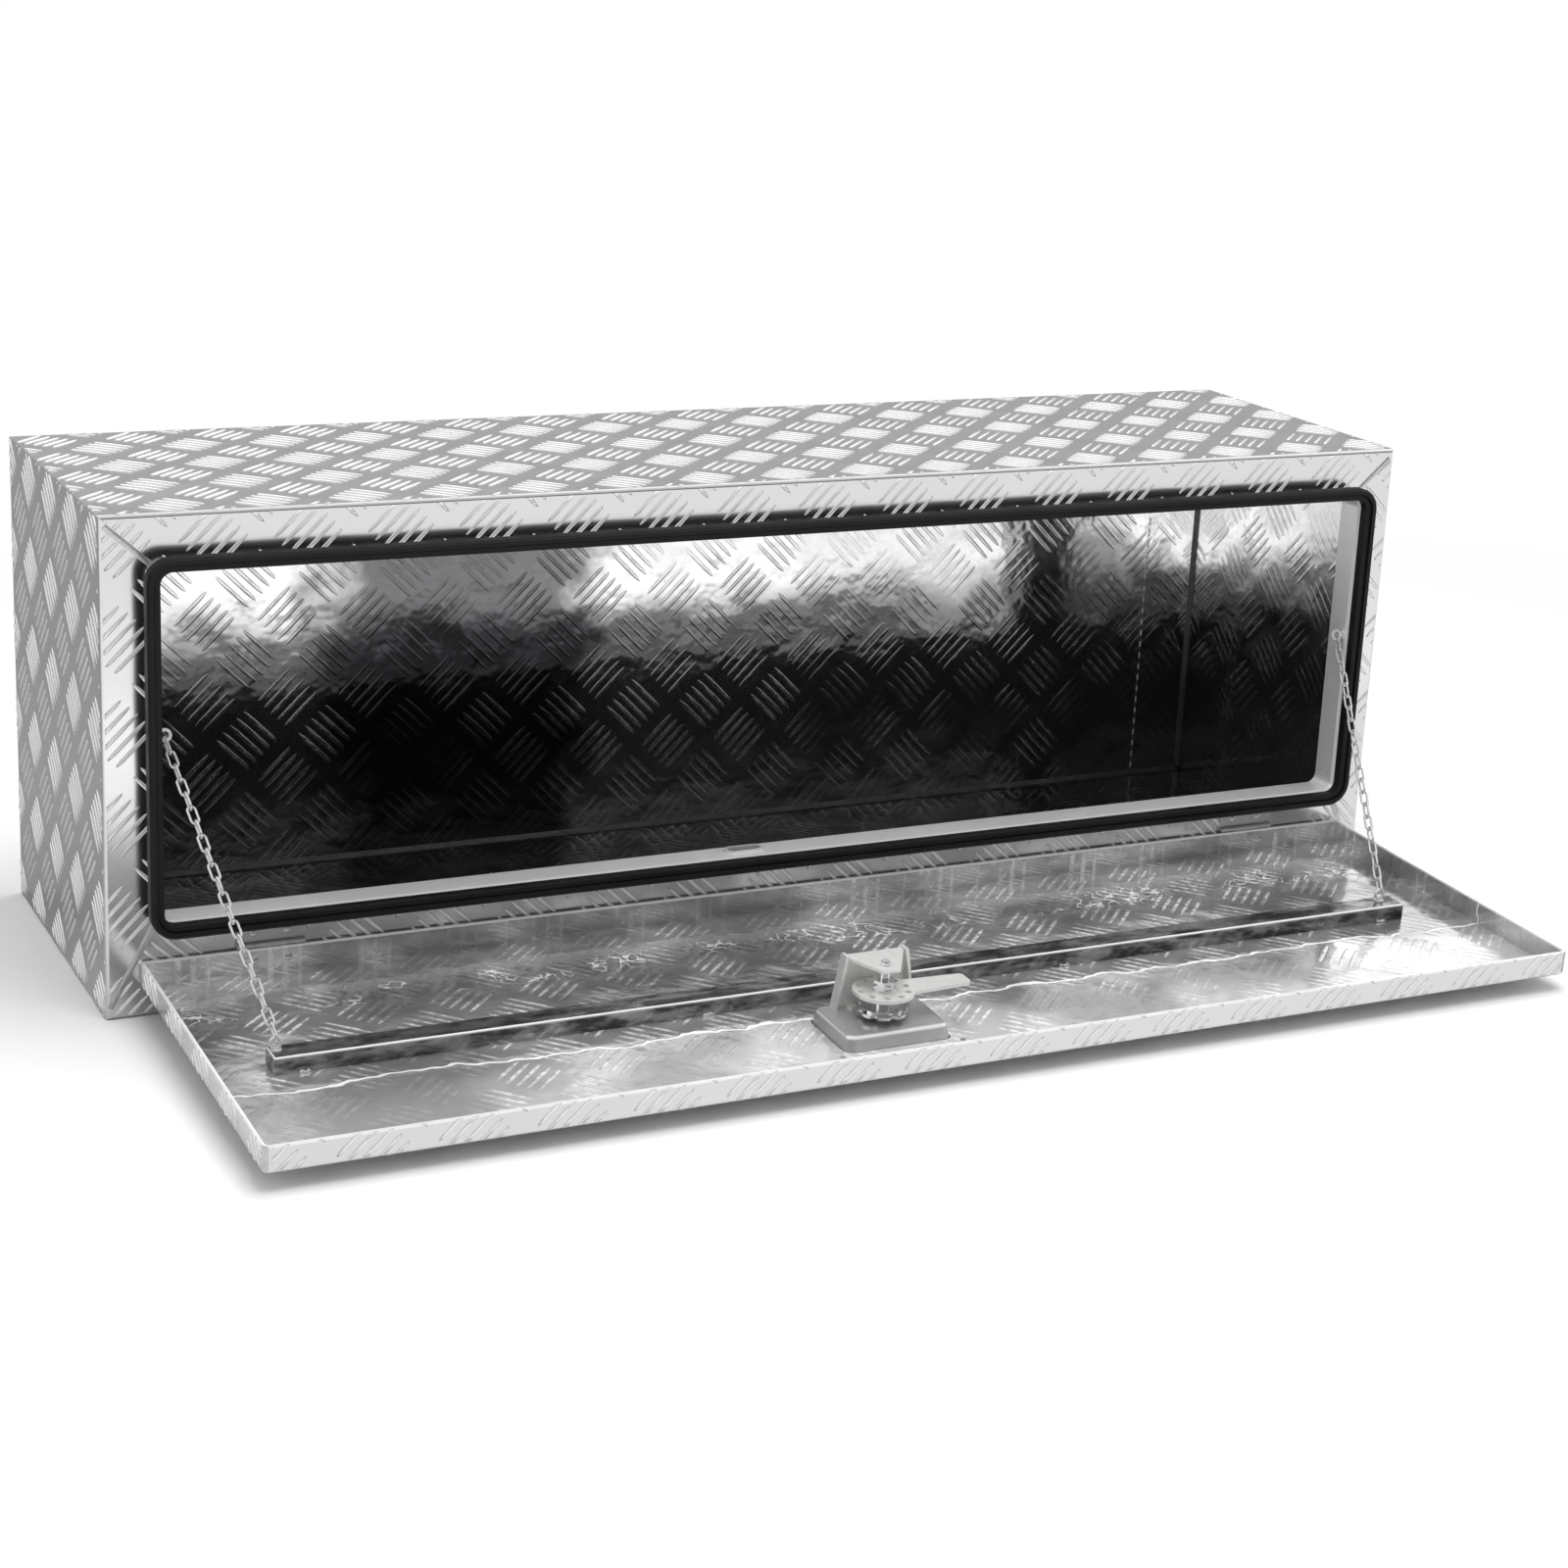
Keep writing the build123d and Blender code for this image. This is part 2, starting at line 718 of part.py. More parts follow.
def eye_solid(centre, outward, across, shank_length):
    # A ring on a washer and a shank. outward runs from the seat to the ring.
    seat = centre - outward * eye_ring_height()
    ring_plane = Plane(origin=centre, x_dir=outward, z_dir=outward.cross(across))
    ring = ring_plane.location * Torus(eye_ring_radius, eye_wire_radius)
    foot = Plane(origin=seat, z_dir=outward).location
    stem_length = eye_washer + eye_wire_radius
    washer = foot * Pos(0, 0, eye_washer / 2) * Cylinder(eye_washer_radius, eye_washer)
    middle = (stem_length - shank_length) / 2
    shank = foot * Pos(0, 0, middle) * Cylinder(eye_shank_radius, stem_length + shank_length)
    return washer + shank + ring


def eye_nut(seat, outward):
    plane = Plane(origin=seat, z_dir=outward)
    nut = extrude(RegularPolygon(eye_nut_radius, 6), -eye_nut_height)
    hole = Cylinder(eye_shank_radius, eye_nut_height * 3)
    return plane.location * (nut - hole)


def eye_shank_length(sheet):
    return sheet + eye_nut_height + eye_shank_beyond_nut


def box_chain_eyes():
    eyes = []
    for side in (-1, 1):
        outward = Vector(-side, 0, 0)
        centre = box_eye_centre(side)
        eyes.append(eye_solid(centre, outward, box_hook_way(), eye_shank_length(strip_thickness)))
    return all_of(eyes)


def box_chain_nuts():
    y, z = front_y + box_eye_y, box_eye_z
    return all_of([
        eye_nut((side * (opening_half + strip_thickness), y, z), (-side, 0, 0)) for side in (-1, 1)])


def door_chain_eyes():
    up = Vector(0, 0, 1)
    across = Vector(1, 0, 0)
    return all_of([
        eye_solid(door_eye_centre(side), up, across, eye_shank_length(channel_sheet)) for side in (-1, 1)])


def door_chain_nuts():
    z = floor_z + channel_height - channel_sheet
    nuts = []
    for side in (-1, 1):
        x, y = door_eye_place(side)
        nuts.append(eye_nut((x, y, z), (0, 0, 1)))
    return all_of(nuts)


def turned(vector, axis, angle_deg):
    # A vector turned about an axis through the origin.
    angle = radians(angle_deg)
    unit = axis.normalized()
    part_along = unit * unit.dot(vector) * (1 - cos(angle))
    return vector * cos(angle) + unit.cross(vector) * sin(angle) + part_along


def about_door_axis(point, angle_deg):
    pivot = Vector(0, axis_y, axis_z)
    return pivot + turned(point - pivot, Vector(1, 0, 0), angle_deg)


def box_hook_way():
    # The chain hangs from the box's ring between its taut and its slack direction.
    down = Vector(0, 0, -1)
    return turned(down, Vector(1, 0, 0), -door_close_deg / 4)


def chain_facts(side):
    # Hook points at rest, the chain's pitch, and how each half swings to hang down.
    upper = box_eye_centre(side) + box_hook_way() * eye_ring_radius
    door_hook = door_eye_centre(side) + Vector(0, 0, eye_ring_radius)
    lower = about_door_axis(door_hook, door_droop_deg)
    span = lower - upper
    down_line = span.normalized()
    inner_room = eye_wire_radius + chain_play
    pitch = (span.length + inner_room * 2 - link_gap) / links_per_chain
    down = Vector(0, 0, -1)
    # The lower half hangs down once the door is up, so in the door's own frame at
    # rest that direction is turned back by the closing angle.
    down_in_door = turned(down, Vector(1, 0, 0), door_close_deg)
    return {
        "upper": upper, "lower": lower, "line": down_line, "pitch": pitch,
        "upper_axis": down_line.cross(down).normalized(),
        "upper_swing_deg": degrees(acos(down_line.dot(down))),
        "lower_axis": (down_line * -1).cross(down_in_door).normalized(),
        "lower_swing_deg": degrees(acos((down_line * -1).dot(down_in_door))),
    }


def chain_link(inner_length):
    # One oval link round the origin, its length along Z and its width along X.
    bend = link_outer_width / 2 - link_wire_radius
    straight = inner_length - (bend - link_wire_radius) * 2
    link = None
    for way in (-1, 1):
        side_bar = Pos(way * bend, 0, 0) * Cylinder(link_wire_radius, straight)
        section = Plane(origin=(bend, 0, way * straight / 2), x_dir=(1, 0, 0), z_dir=(0, 0, 1)) * Circle(
            link_wire_radius)
        crown = revolve(section, Axis((0, 0, way * straight / 2), (0, 1, 0)), -180 * way)
        link = side_bar + crown if link is None else link + side_bar + crown
    return link


def half_chain(side, upper_half):
    facts = chain_facts(side)
    way = facts["line"] if upper_half else facts["line"] * -1
    start = facts["upper"] if upper_half else facts["lower"]
    pitch = facts["pitch"]
    inner_length = pitch + link_gap
    # The first link lies in the plane of the swing, so it turns round the eye's wire.
    in_plane = Vector(1, 0, 0).cross(way).normalized()
    link = chain_link(inner_length)
    links = []
    for k in range(links_in_upper_half if upper_half else links_in_lower_half):
        middle = start + way * (inner_length / 2 - eye_wire_radius - chain_play + pitch * k)
        x_dir = in_plane if k % 2 == 0 else in_plane.cross(way).normalized()
        place = Plane(origin=middle, x_dir=x_dir, z_dir=way)
        links.append(place.location * link)
    return all_of(links)


# Latch, drawn on the level door

def dish_rivet_places():
    dx = dish_width / 2 + dish_rivet_inset
    dy = dish_height / 2 + dish_rivet_inset
    return [(latch_x + sx * dx, latch_y + sy * dy) for sx in (-1, 1) for sy in (-1, 1)]


def dish_body(inset, rise):
    # A tapered block with rounded corners, rise above the skin, drawn in by inset.
    low = RectangleRounded(
        dish_width - inset * 2, dish_height - inset * 2, dish_corner_radius - inset)
    high = RectangleRounded(
        dish_width - (inset + dish_taper) * 2, dish_height - (inset + dish_taper) * 2,
        dish_corner_radius - inset)
    foot = Pos(latch_x, latch_y, skin_z - gasket_thickness)
    top = Pos(latch_x, latch_y, skin_z + rise)
    return loft([foot * low, top * high])


def latch_dish():
    outer = dish_body(0, dish_rise)
    outer = fillet(outer.faces().sort_by(Axis.Z)[-1].edges(), dish_edge_radius)
    hollow = dish_body(dish_sheet, dish_rise - dish_sheet)
    hollow = fillet(hollow.faces().sort_by(Axis.Z)[-1].edges(), dish_edge_radius - dish_sheet)
    flange_low = skin_z - gasket_thickness - dish_sheet
    flange = Pos(latch_x, latch_y, flange_low) * extrude(
        RectangleRounded(
            dish_width + dish_flange * 2, dish_height + dish_flange * 2, dish_corner_radius), dish_sheet)
    mouth = Pos(latch_x, latch_y, flange_low) * extrude(
        RectangleRounded(
            dish_width - dish_sheet * 2, dish_height - dish_sheet * 2, dish_corner_radius - dish_sheet),
        dish_sheet)
    dish = outer + flange - hollow - mouth
    dish -= upright(latch_x, latch_y, skin_z, skin_z + dish_rise * 2, spindle_radius + spindle_clearance)
    for x, y in dish_rivet_places():
        dish -= upright(x, y, flange_low - cut_overrun, skin_z, rivet_radius)
    for x, y in bracket_rivet_places():
        dish -= upright(x, y, skin_z, skin_z + dish_rise * 2, rivet_radius)
    return dish


def latch_gasket():
    low = skin_z - gasket_thickness
    place = Pos(latch_x, latch_y, low)
    pad = place * extrude(
        RectangleRounded(
            dish_width + dish_flange * 2, dish_height + dish_flange * 2, dish_corner_radius), gasket_thickness)
    window = place * extrude(
        RectangleRounded(
            dish_width + dish_cutout_gap * 2, dish_height + dish_cutout_gap * 2,
            dish_corner_radius + dish_cutout_gap),
        gasket_thickness)
    pad -= window
    for x, y in dish_rivet_places():
        pad -= upright(x, y, low - cut_overrun, skin_z + cut_overrun, rivet_radius)
    return pad


def latch_dish_rivets():
    z = skin_z - gasket_thickness - dish_sheet
    grip = dish_sheet + gasket_thickness + door_sheet
    return all_of([domed_rivet((x, y, z), (0, 0, -1), grip) for x, y in dish_rivet_places()])


def bracket_x():
    return latch_x + bracket_shift


def bracket_back_y():
    return latch_y + dish_height / 2 - dish_taper - dish_edge_radius


def bracket_rivet_places():
    y = bracket_back_y() - bracket_sheet - bracket_foot_length / 2
    return [(bracket_x() + side * bracket_foot_offset, y) for side in (-1, 1)]


def latch_bracket():
    # A trapezoid web at the back of the dish, bent forward over the spindle at the
    # top and forward on to the dish at two feet.
    foot_z = skin_z + dish_rise
    top_z = skin_z + bracket_top_height
    back = bracket_back_y()
    front = back - bracket_sheet
    middle = bracket_x()
    web = Pos(middle, 0, 0) * front_prism(
        (
            (-bracket_foot_half_width, foot_z), (bracket_foot_half_width, foot_z),
            (bracket_top_half_width, top_z), (-bracket_top_half_width, top_z)),
        front, back)
    nose_y = latch_y - bracket_nose_reach
    outline = Polyline(
        (-bracket_top_half_width, back), (bracket_top_half_width, back),
        (bracket_nose_half_width - bracket_shift, nose_y),
        (-bracket_nose_half_width - bracket_shift, nose_y), close=True)
    roof = Pos(middle, 0, top_z - bracket_sheet) * extrude(make_face(outline), bracket_sheet)
    bracket = web + roof
    for side in (-1, 1):
        x = middle + side * bracket_foot_offset
        half = bracket_foot_width / 2
        foot = block(x - half, x + half, front - bracket_foot_length, front, foot_z, foot_z + bracket_sheet)
        front_corners = foot.edges().filter_by(Axis.Z).group_by(Axis.Y)[0]
        bracket += fillet(front_corners, bracket_foot_length / 2)
        # A cheek along the web's slanted end stiffens it and stands above the roof.
        run = bracket_foot_half_width - bracket_top_half_width
        rise = top_z - foot_z
        lean = hypot(run, rise) / rise * bracket_sheet
        crest = top_z + bracket_cheek_rise
        crest_half_width = bracket_foot_half_width - run * (crest - foot_z) / rise
        cheek = front_prism(
            (
                (middle + side * bracket_foot_half_width, foot_z),
                (middle + side * (bracket_foot_half_width - lean), foot_z),
                (middle + side * (crest_half_width - lean), crest),
                (middle + side * crest_half_width, crest)),
            front - bracket_cheek, back)
        bracket += cheek
    bracket -= upright(latch_x, latch_y, foot_z, top_z + cut_overrun, spindle_neck_radius + spindle_clearance)
    for x, y in bracket_rivet_places():
        bracket -= upright(x, y, foot_z - cut_overrun, foot_z + bracket_sheet + cut_overrun, rivet_radius)
    return bracket


def latch_bracket_rivets():
    z = skin_z + dish_rise + bracket_sheet
    grip = bracket_sheet + dish_sheet
    return all_of([domed_rivet((x, y, z), (0, 0, 1), grip) for x, y in bracket_rivet_places()])


def hub_top_z():
    return skin_z + dish_rise - dish_sheet - hub_gap


def latch_spindle():
    hub_low = hub_top_z() - hub_thickness
    roof_low = skin_z + bracket_top_height - bracket_sheet
    end = skin_z + bracket_top_height + spindle_end_above_bracket
    spindle = upright(latch_x, latch_y, hub_low, hub_top_z(), hub_radius)
    spindle += upright(latch_x, latch_y, hub_top_z(), roof_low - hub_gap, spindle_radius)
    spindle += upright(latch_x, latch_y, roof_low - hub_gap, end, spindle_neck_radius)
    pin_z = skin_z + fold_pin_height
    gap = handle_stem_width / 2 + handle_side_clearance
    for side in (-1, 1):
        y_in = latch_y + side * gap
        y_out = y_in + side * ear_thickness
        ear = block(
            latch_x - ear_radius, latch_x + ear_radius, min(y_in, y_out), max(y_in, y_out), pin_z, hub_low)
        ear += along_y(min(y_in, y_out), max(y_in, y_out), latch_x, pin_z, ear_radius)
        spindle += ear
    reach = gap + ear_thickness + cut_overrun
    spindle -= along_y(latch_y - reach, latch_y + reach, latch_x, pin_z, fold_pin_radius)
    return spindle


def fold_pin():
    reach = handle_stem_width / 2 + handle_side_clearance + ear_thickness
    return along_y(latch_y - reach, latch_y + reach, latch_x, skin_z + fold_pin_height, fold_pin_radius)


def seat_disc(radius, low, thickness):
    z = skin_z + low
    disc = upright(latch_x, latch_y, z, z + thickness, radius)
    return disc - upright(
        latch_x, latch_y, z - cut_overrun, z + thickness + cut_overrun, spindle_radius + spindle_clearance)


def star_washer():
    disc = seat_disc(star_radius, star_height, star_thickness)
    for k in range(star_notch_count):
        angle = 2 * pi * k / star_notch_count
        x = latch_x + star_radius * cos(angle)
        y = latch_y + star_radius * sin(angle)
        z = skin_z + star_height
        disc -= upright(x, y, z - cut_overrun, z + star_thickness + cut_overrun, star_notch_radius)
    return disc


def detent_disc():
    return seat_disc(detent_radius, star_height + star_thickness, detent_thickness)


def cam_spacer():
    low = star_height + star_thickness + detent_thickness
    return seat_disc(spacer_radius, low, cam_height - low)


def cam_plate():
    z = skin_z + cam_height
    plate = Pos(latch_x, latch_y, z) * extrude(
        RectangleRounded(cam_size, cam_size, cam_corner_radius), cam_thickness)
    arm_outline = Polyline(
        (0, -cam_arm_root / 2), (cam_arm_reach, -cam_arm_tip / 2),
        (cam_arm_reach, cam_arm_tip / 2), (0, cam_arm_root / 2), close=True)
    arm = Pos(latch_x, latch_y, z) * extrude(make_face(arm_outline), cam_thickness)
    arm = fillet(arm.edges().filter_by(Axis.Z).group_by(Axis.X)[-1], cam_arm_corner)
    plate += arm
    plate -= upright(latch_x, latch_y, z - cut_overrun, z + cut_overrun * 2, spindle_radius + spindle_clearance)
    for k in range(cam_hole_count):
        angle = 2 * pi * k / cam_hole_count
        x = latch_x + cam_hole_circle * cos(angle)
        y = latch_y + cam_hole_circle * sin(angle)
        plate -= upright(x, y, z - cut_overrun, z + cut_overrun * 2, cam_hole_radius)
    return plate


def cam_washer():
    return seat_disc(washer_radius, cam_height + cam_thickness, washer_thickness)


def hex_on_spindle(flats, low, height, bore):
    z = skin_z + low
    nut = Pos(latch_x, latch_y, z) * extrude(RegularPolygon(flats / 2, 6, major_radius=False), height)
    nut -= upright(latch_x, latch_y, z - cut_overrun, z + height + cut_overrun, bore)
    return nut


def cam_nut():
    low = cam_height + cam_thickness + washer_thickness
    return hex_on_spindle(nut_flats, low, nut_height, spindle_radius + spindle_clearance)


def spindle_end_nut():
    bore = spindle_neck_radius + spindle_clearance
    return hex_on_spindle(end_nut_flats, bracket_top_height + hub_gap / 2, end_nut_height, bore)


def lock_place():
    return latch_x - lock_offset, latch_y


def lock_body():
    x, y = lock_place()
    top = skin_z + dish_rise - dish_sheet
    low = top - lock_length
    body = upright(x, y, low, top, lock_radius)
    return body - upright(
        x, y, low - cut_overrun, top - dish_sheet, lock_plug_radius + lock_plug_clearance)


def lock_plug():
    x, y = lock_place()
    low = skin_z + dish_rise - dish_sheet - lock_length
    plug = upright(x, y, low, skin_z + dish_rise - dish_sheet * 2 - hub_gap, lock_plug_radius)
    half_slot = key_slot_width / 2
    half_length = key_slot_length / 2
    return plug - block(
        x - half_slot, x + half_slot, y - half_length, y + half_length, low - cut_overrun, low + key_slot_depth)


def hung(shape):
    # The handle is drawn folded flat into the dish, then swung out to hang.
    pin = Axis((latch_x, latch_y, skin_z + fold_pin_height), (0, 1, 0))
    return shape.rotate(pin, handle_hang_deg)


def t_handle_stem():
    z = skin_z + fold_pin_height
    half_width_y = handle_stem_width / 2
    half_thick = handle_stem_thickness / 2
    stem = block(
        latch_x, latch_x + handle_arm, latch_y - half_width_y, latch_y + half_width_y,
        z - half_thick, z + half_thick)
    stem += along_y(
        latch_y - half_width_y, latch_y + half_width_y, latch_x, z, ear_radius - handle_side_clearance)
    bore = fold_pin_radius + hinge_running_clearance
    stem -= along_y(latch_y - handle_stem_width, latch_y + handle_stem_width, latch_x, z, bore)
    stem -= along_y(latch_y - handle_stem_width, latch_y + handle_stem_width, latch_x + handle_arm, z, handle_bar_radius)
    return hung(stem)


def t_handle_grip():
    z = skin_z + fold_pin_height
    half = handle_bar_length / 2
    bar = along_y(latch_y - half, latch_y + half, latch_x + handle_arm, z, handle_bar_radius)
    bar = fillet(bar.edges().filter_by(GeomType.CIRCLE), handle_bar_radius * grip_end_share)
    return hung(bar)


def write_part():
    nodes = box_panels()
    for hole in box_rivet_holes():
        nodes["bottom_panel"] -= hole
    nodes["front_mitre_welds"] = front_mitre_welds()
    nodes["inside_corner_welds"] = inside_corner_welds()
    nodes.update(opening_strips())
    nodes["drain_slot_rim"] = drain_rim_ring()
    nodes["seal_grip"] = seal_grip()
    nodes["seal_bulb"] = seal_bulb()
    nodes["left_hinge_box_leaf"] = hinge_leaf_solid(-hinge_x, True)
    nodes["right_hinge_box_leaf"] = hinge_leaf_solid(hinge_x, True)
    nodes["hinge_pins"] = hinge_pins()
    nodes["hinge_box_rivets"] = hinge_box_rivets()
    nodes["box_chain_eyes"] = box_chain_eyes()
    nodes["box_chain_nuts"] = box_chain_nuts()
    door_nodes = {
        "door_panel": door_panel(),
        "door_corner_welds": door_corner_welds(),
        "stiffener_channel": stiffener_channel(),
        "stiffener_tack_welds": stiffener_tack_welds(),
        "left_hinge_door_leaf": hinge_leaf_solid(-hinge_x, False),
        "right_hinge_door_leaf": hinge_leaf_solid(hinge_x, False),
        "hinge_door_rivets": hinge_door_rivets(),
        "door_chain_eyes": door_chain_eyes(),
        "door_chain_nuts": door_chain_nuts(),
        "latch_dish": latch_dish(),
        "latch_gasket": latch_gasket(),
        "latch_dish_rivets": latch_dish_rivets(),
        "latch_bracket": latch_bracket(),
        "latch_bracket_rivets": latch_bracket_rivets(),
        "latch_spindle": latch_spindle(),
        "fold_pin": fold_pin(),
        "star_washer": star_washer(),
        "detent_disc": detent_disc(),
        "cam_spacer": cam_spacer(),
        "cam_plate": cam_plate(),
        "cam_washer": cam_washer(),
        "cam_nut": cam_nut(),
        "spindle_end_nut": spindle_end_nut(),
        "lock_body": lock_body(),
        "lock_plug": lock_plug(),
        "t_handle_stem": t_handle_stem(),
        "t_handle_grip": t_handle_grip(),
    }
    for name, shape in door_nodes.items():
        nodes[name] = drooped(shape)
    nodes["left_chain_upper"] = half_chain(-1, True)
    nodes["left_chain_lower"] = half_chain(-1, False)
    nodes["right_chain_upper"] = half_chain(1, True)
    nodes["right_chain_lower"] = half_chain(1, False)
    os.makedirs("parts", exist_ok=True)
    for name, shape in nodes.items():
        export_step(shape, "parts/" + name + ".step")
    return nodes


def point_text(vector):
    return "(%.6f, %.6f, %.6f)" % (vector.X, vector.Y, vector.Z)


def print_joints():
    normal = turned(Vector(0, 0, 1), Vector(1, 0, 0), door_droop_deg)
    spindle = about_door_axis(Vector(latch_x, latch_y, skin_z), door_droop_deg)
    pin = about_door_axis(Vector(latch_x, latch_y, skin_z + fold_pin_height), door_droop_deg)
    lock = about_door_axis(Vector(lock_place()[0], lock_place()[1], skin_z), door_droop_deg)
    fold_axis = turned(Vector(0, 1, 0), Vector(1, 0, 0), door_droop_deg)
    print("door hinge at", point_text(Vector(0, axis_y, axis_z)))
    print("door normal", point_text(normal), "spindle at", point_text(spindle), "lock at", point_text(lock))
    print("fold pin at", point_text(pin), "axis", point_text(fold_axis))
    for side, word in ((-1, "left"), (1, "right")):
        facts = chain_facts(side)
        print(word, "chain pitch %.4f" % facts["pitch"])
        for half in ("upper", "lower"):
            print(
                word, half, point_text(facts[half]), "axis", point_text(facts[half + "_axis"]),
                "swing %.4f" % facts[half + "_swing_deg"])


write_part()
print_joints()
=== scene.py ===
import json
import math

import bmesh
import bpy
from mathutils import Matrix, Vector, noise


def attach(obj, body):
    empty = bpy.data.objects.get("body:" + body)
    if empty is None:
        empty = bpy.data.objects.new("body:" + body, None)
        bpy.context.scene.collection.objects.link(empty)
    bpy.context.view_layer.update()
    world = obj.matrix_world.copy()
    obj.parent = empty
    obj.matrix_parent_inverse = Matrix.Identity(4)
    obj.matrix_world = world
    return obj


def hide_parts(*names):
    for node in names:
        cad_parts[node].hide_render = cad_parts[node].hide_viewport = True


# Underbody tool box in tread plate, open. Metres; X along the box, Y to the back, Z up.

MM = 0.001

# Sizes shared with the solids
BOX_HALF_LENGTH = 609.5 * MM
BOX_HALF_DEPTH = 159.0 * MM
BOX_HEIGHT = 412.0 * MM
FRONT_Y = -BOX_HALF_DEPTH
OPENING_HALF = 567.0 * MM
OPENING_BOTTOM = 82.0 * MM
OPENING_TOP = 370.0 * MM
STRIP = 1.8 * MM
MITRE_RISE = 4.0 * MM
BEND = 3.0 * MM
DOOR_HALF = 582.0 * MM
DOOR_REACH = 347.0 * MM
DOOR_DEPTH = 22.0 * MM
DOOR_BACK_Y = -162.0 * MM
DOOR_RIM_Z = 48.0 * MM
DOOR_SKIN_Z = DOOR_RIM_Z - DOOR_DEPTH
DOOR_BEND = 2.5 * MM
HINGE_AXIS = Vector((0.0, -161.5 * MM, 50.6 * MM))
DROOP = math.radians(2.0)
DOOR_CORNER = 6.0 * MM
LATCH = (-51.5 * MM, -426.0 * MM)
DISH_ROOM = (73.0 * MM, 60.0 * MM)
HINGE_LEAF = (476.0 * MM, 60.0 * MM)
HINGE_LEAF_ROOM = (30.0 * MM, 14.0 * MM)
MITRE_BEAD = 3.0 * MM
HALF_SHEET = 1.0 * MM

# Chain, as in the solids
LINKS = 21
UPPER_LINKS = 10
LINK_WIRE = 1.0 * MM
LINK_WIDTH = 8.4 * MM
LINK_GAP = 0.3 * MM
EYE_ROOM = 1.7 * MM
LINK_SIDES = 12
LINK_TURN_STEPS = 10

# Camera, fitted to the photograph
CAMERA_PLACE = Vector((-1.1173, -2.3812, 0.9257))
CAMERA_YAW = math.radians(27.846)
CAMERA_PITCH = math.radians(15.973)
CAMERA_ROLL = math.radians(3.097)
CAMERA_LENS = 68.204
CAMERA_SENSOR = 36.0
CAMERA_SHIFT = (-0.05, -0.05)
FAR_CLIP = 50.0

# Studio
FLOOR_HALF = 9.0
FLOOR_Z = -0.2 * MM
FLOOR_WHITE = 0.94
SOFTBOX_PLACE = Vector((0.2, -0.3, 2.4))
SOFTBOX_TARGET = Vector((0.0, -0.15, 0.2))
SOFTBOX_SIZE = (2.4, 1.5)
SOFTBOX_WATTS = 52.0
FILL_LIGHT = 0.62

# Tread pattern: groups of five bars, laid like basket work
TREAD_PERIOD = 76.0 * MM
BAR_SPACING = 8.8 * MM
BAR_LENGTHS = (42.0 * MM, 43.5 * MM, 44.0 * MM, 43.5 * MM, 42.0 * MM)
BAR_WIDTH = 3.8 * MM
BAR_RISE = 0.9 * MM
BAR_SIDES = 12
BAR_RINGS = 4
BAR_SQUARENESS = 0.6
BAR_TAPER = 0.5 * MM
BORDER = 1.5 * MM
RIM_BORDER = 0.5 * MM
GROUP_REACH = TREAD_PERIOD * 0.46
TOLERANCE = 0.01 * MM

# Where the pattern starts on each sheet
FLOOR_PHASE = (24.0 * MM, -20.0 * MM)
END_PHASE = (10.0 * MM, 390.0 * MM)
FRONT_PHASE = (12.0 * MM, 390.0 * MM)
DOOR_PHASE = (30.0 * MM, -190.0 * MM)
RIM_PHASE_Z = DOOR_SKIN_Z + 8.0 * MM

# Finish of the sheets
OUTER_ROUGHNESS = 0.13
OUTER_TONE = 0.82
BRIGHTEST = 0.99
BLUE = 0.006
DENT_DEPTH = 0.34 * MM
INNER_SWELL = 1.5 * MM
INNER_RIPPLE = 0.7 * MM
OUTER_SWELL = 1.0 * MM
GRAIN = 0.004 * MM

# Marks in the sheets, and painted sheen, shade, highlights and a painted dark reflection
SHADE_BELOW_Z = 200.0 * MM
SHEEN_ABOVE_Z = 252.0 * MM
BORDER_RAGGEDNESS = 90.0 * MM
DOOR_FRONT_Y = -470.0 * MM
DOOR_MIDDLE_Y = -370.0 * MM
RIM_HIGHLIGHT_DEPTH = 1.8 * MM
RIDGE_Y = -387.0 * MM
CURLS_Y = -232.0 * MM
PAINTED_DARK_X = -205.0 * MM
SEAM_X = 549.0 * MM
SPOT_PITCH = 12.0 * MM
CHANNEL_TOP_Z = DOOR_SKIN_Z + 16.5 * MM

# Tack welds of the stiffener
TACK_CUTS = 5
TACK_SMOOTHINGS = 24
TACK_SWELLING = 0.8 * MM
TACK_LUMPS = ((300.0, 1.7 * MM), (900.0, 0.5 * MM))

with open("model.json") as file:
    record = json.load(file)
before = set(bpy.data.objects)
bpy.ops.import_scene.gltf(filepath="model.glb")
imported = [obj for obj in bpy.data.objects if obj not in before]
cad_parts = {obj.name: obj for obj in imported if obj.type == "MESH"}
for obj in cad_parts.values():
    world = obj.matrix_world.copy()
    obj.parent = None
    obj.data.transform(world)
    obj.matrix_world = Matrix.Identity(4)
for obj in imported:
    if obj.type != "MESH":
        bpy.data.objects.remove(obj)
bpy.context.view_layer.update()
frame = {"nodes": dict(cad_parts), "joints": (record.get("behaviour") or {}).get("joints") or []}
nodes = frame["nodes"]


# Shader wires


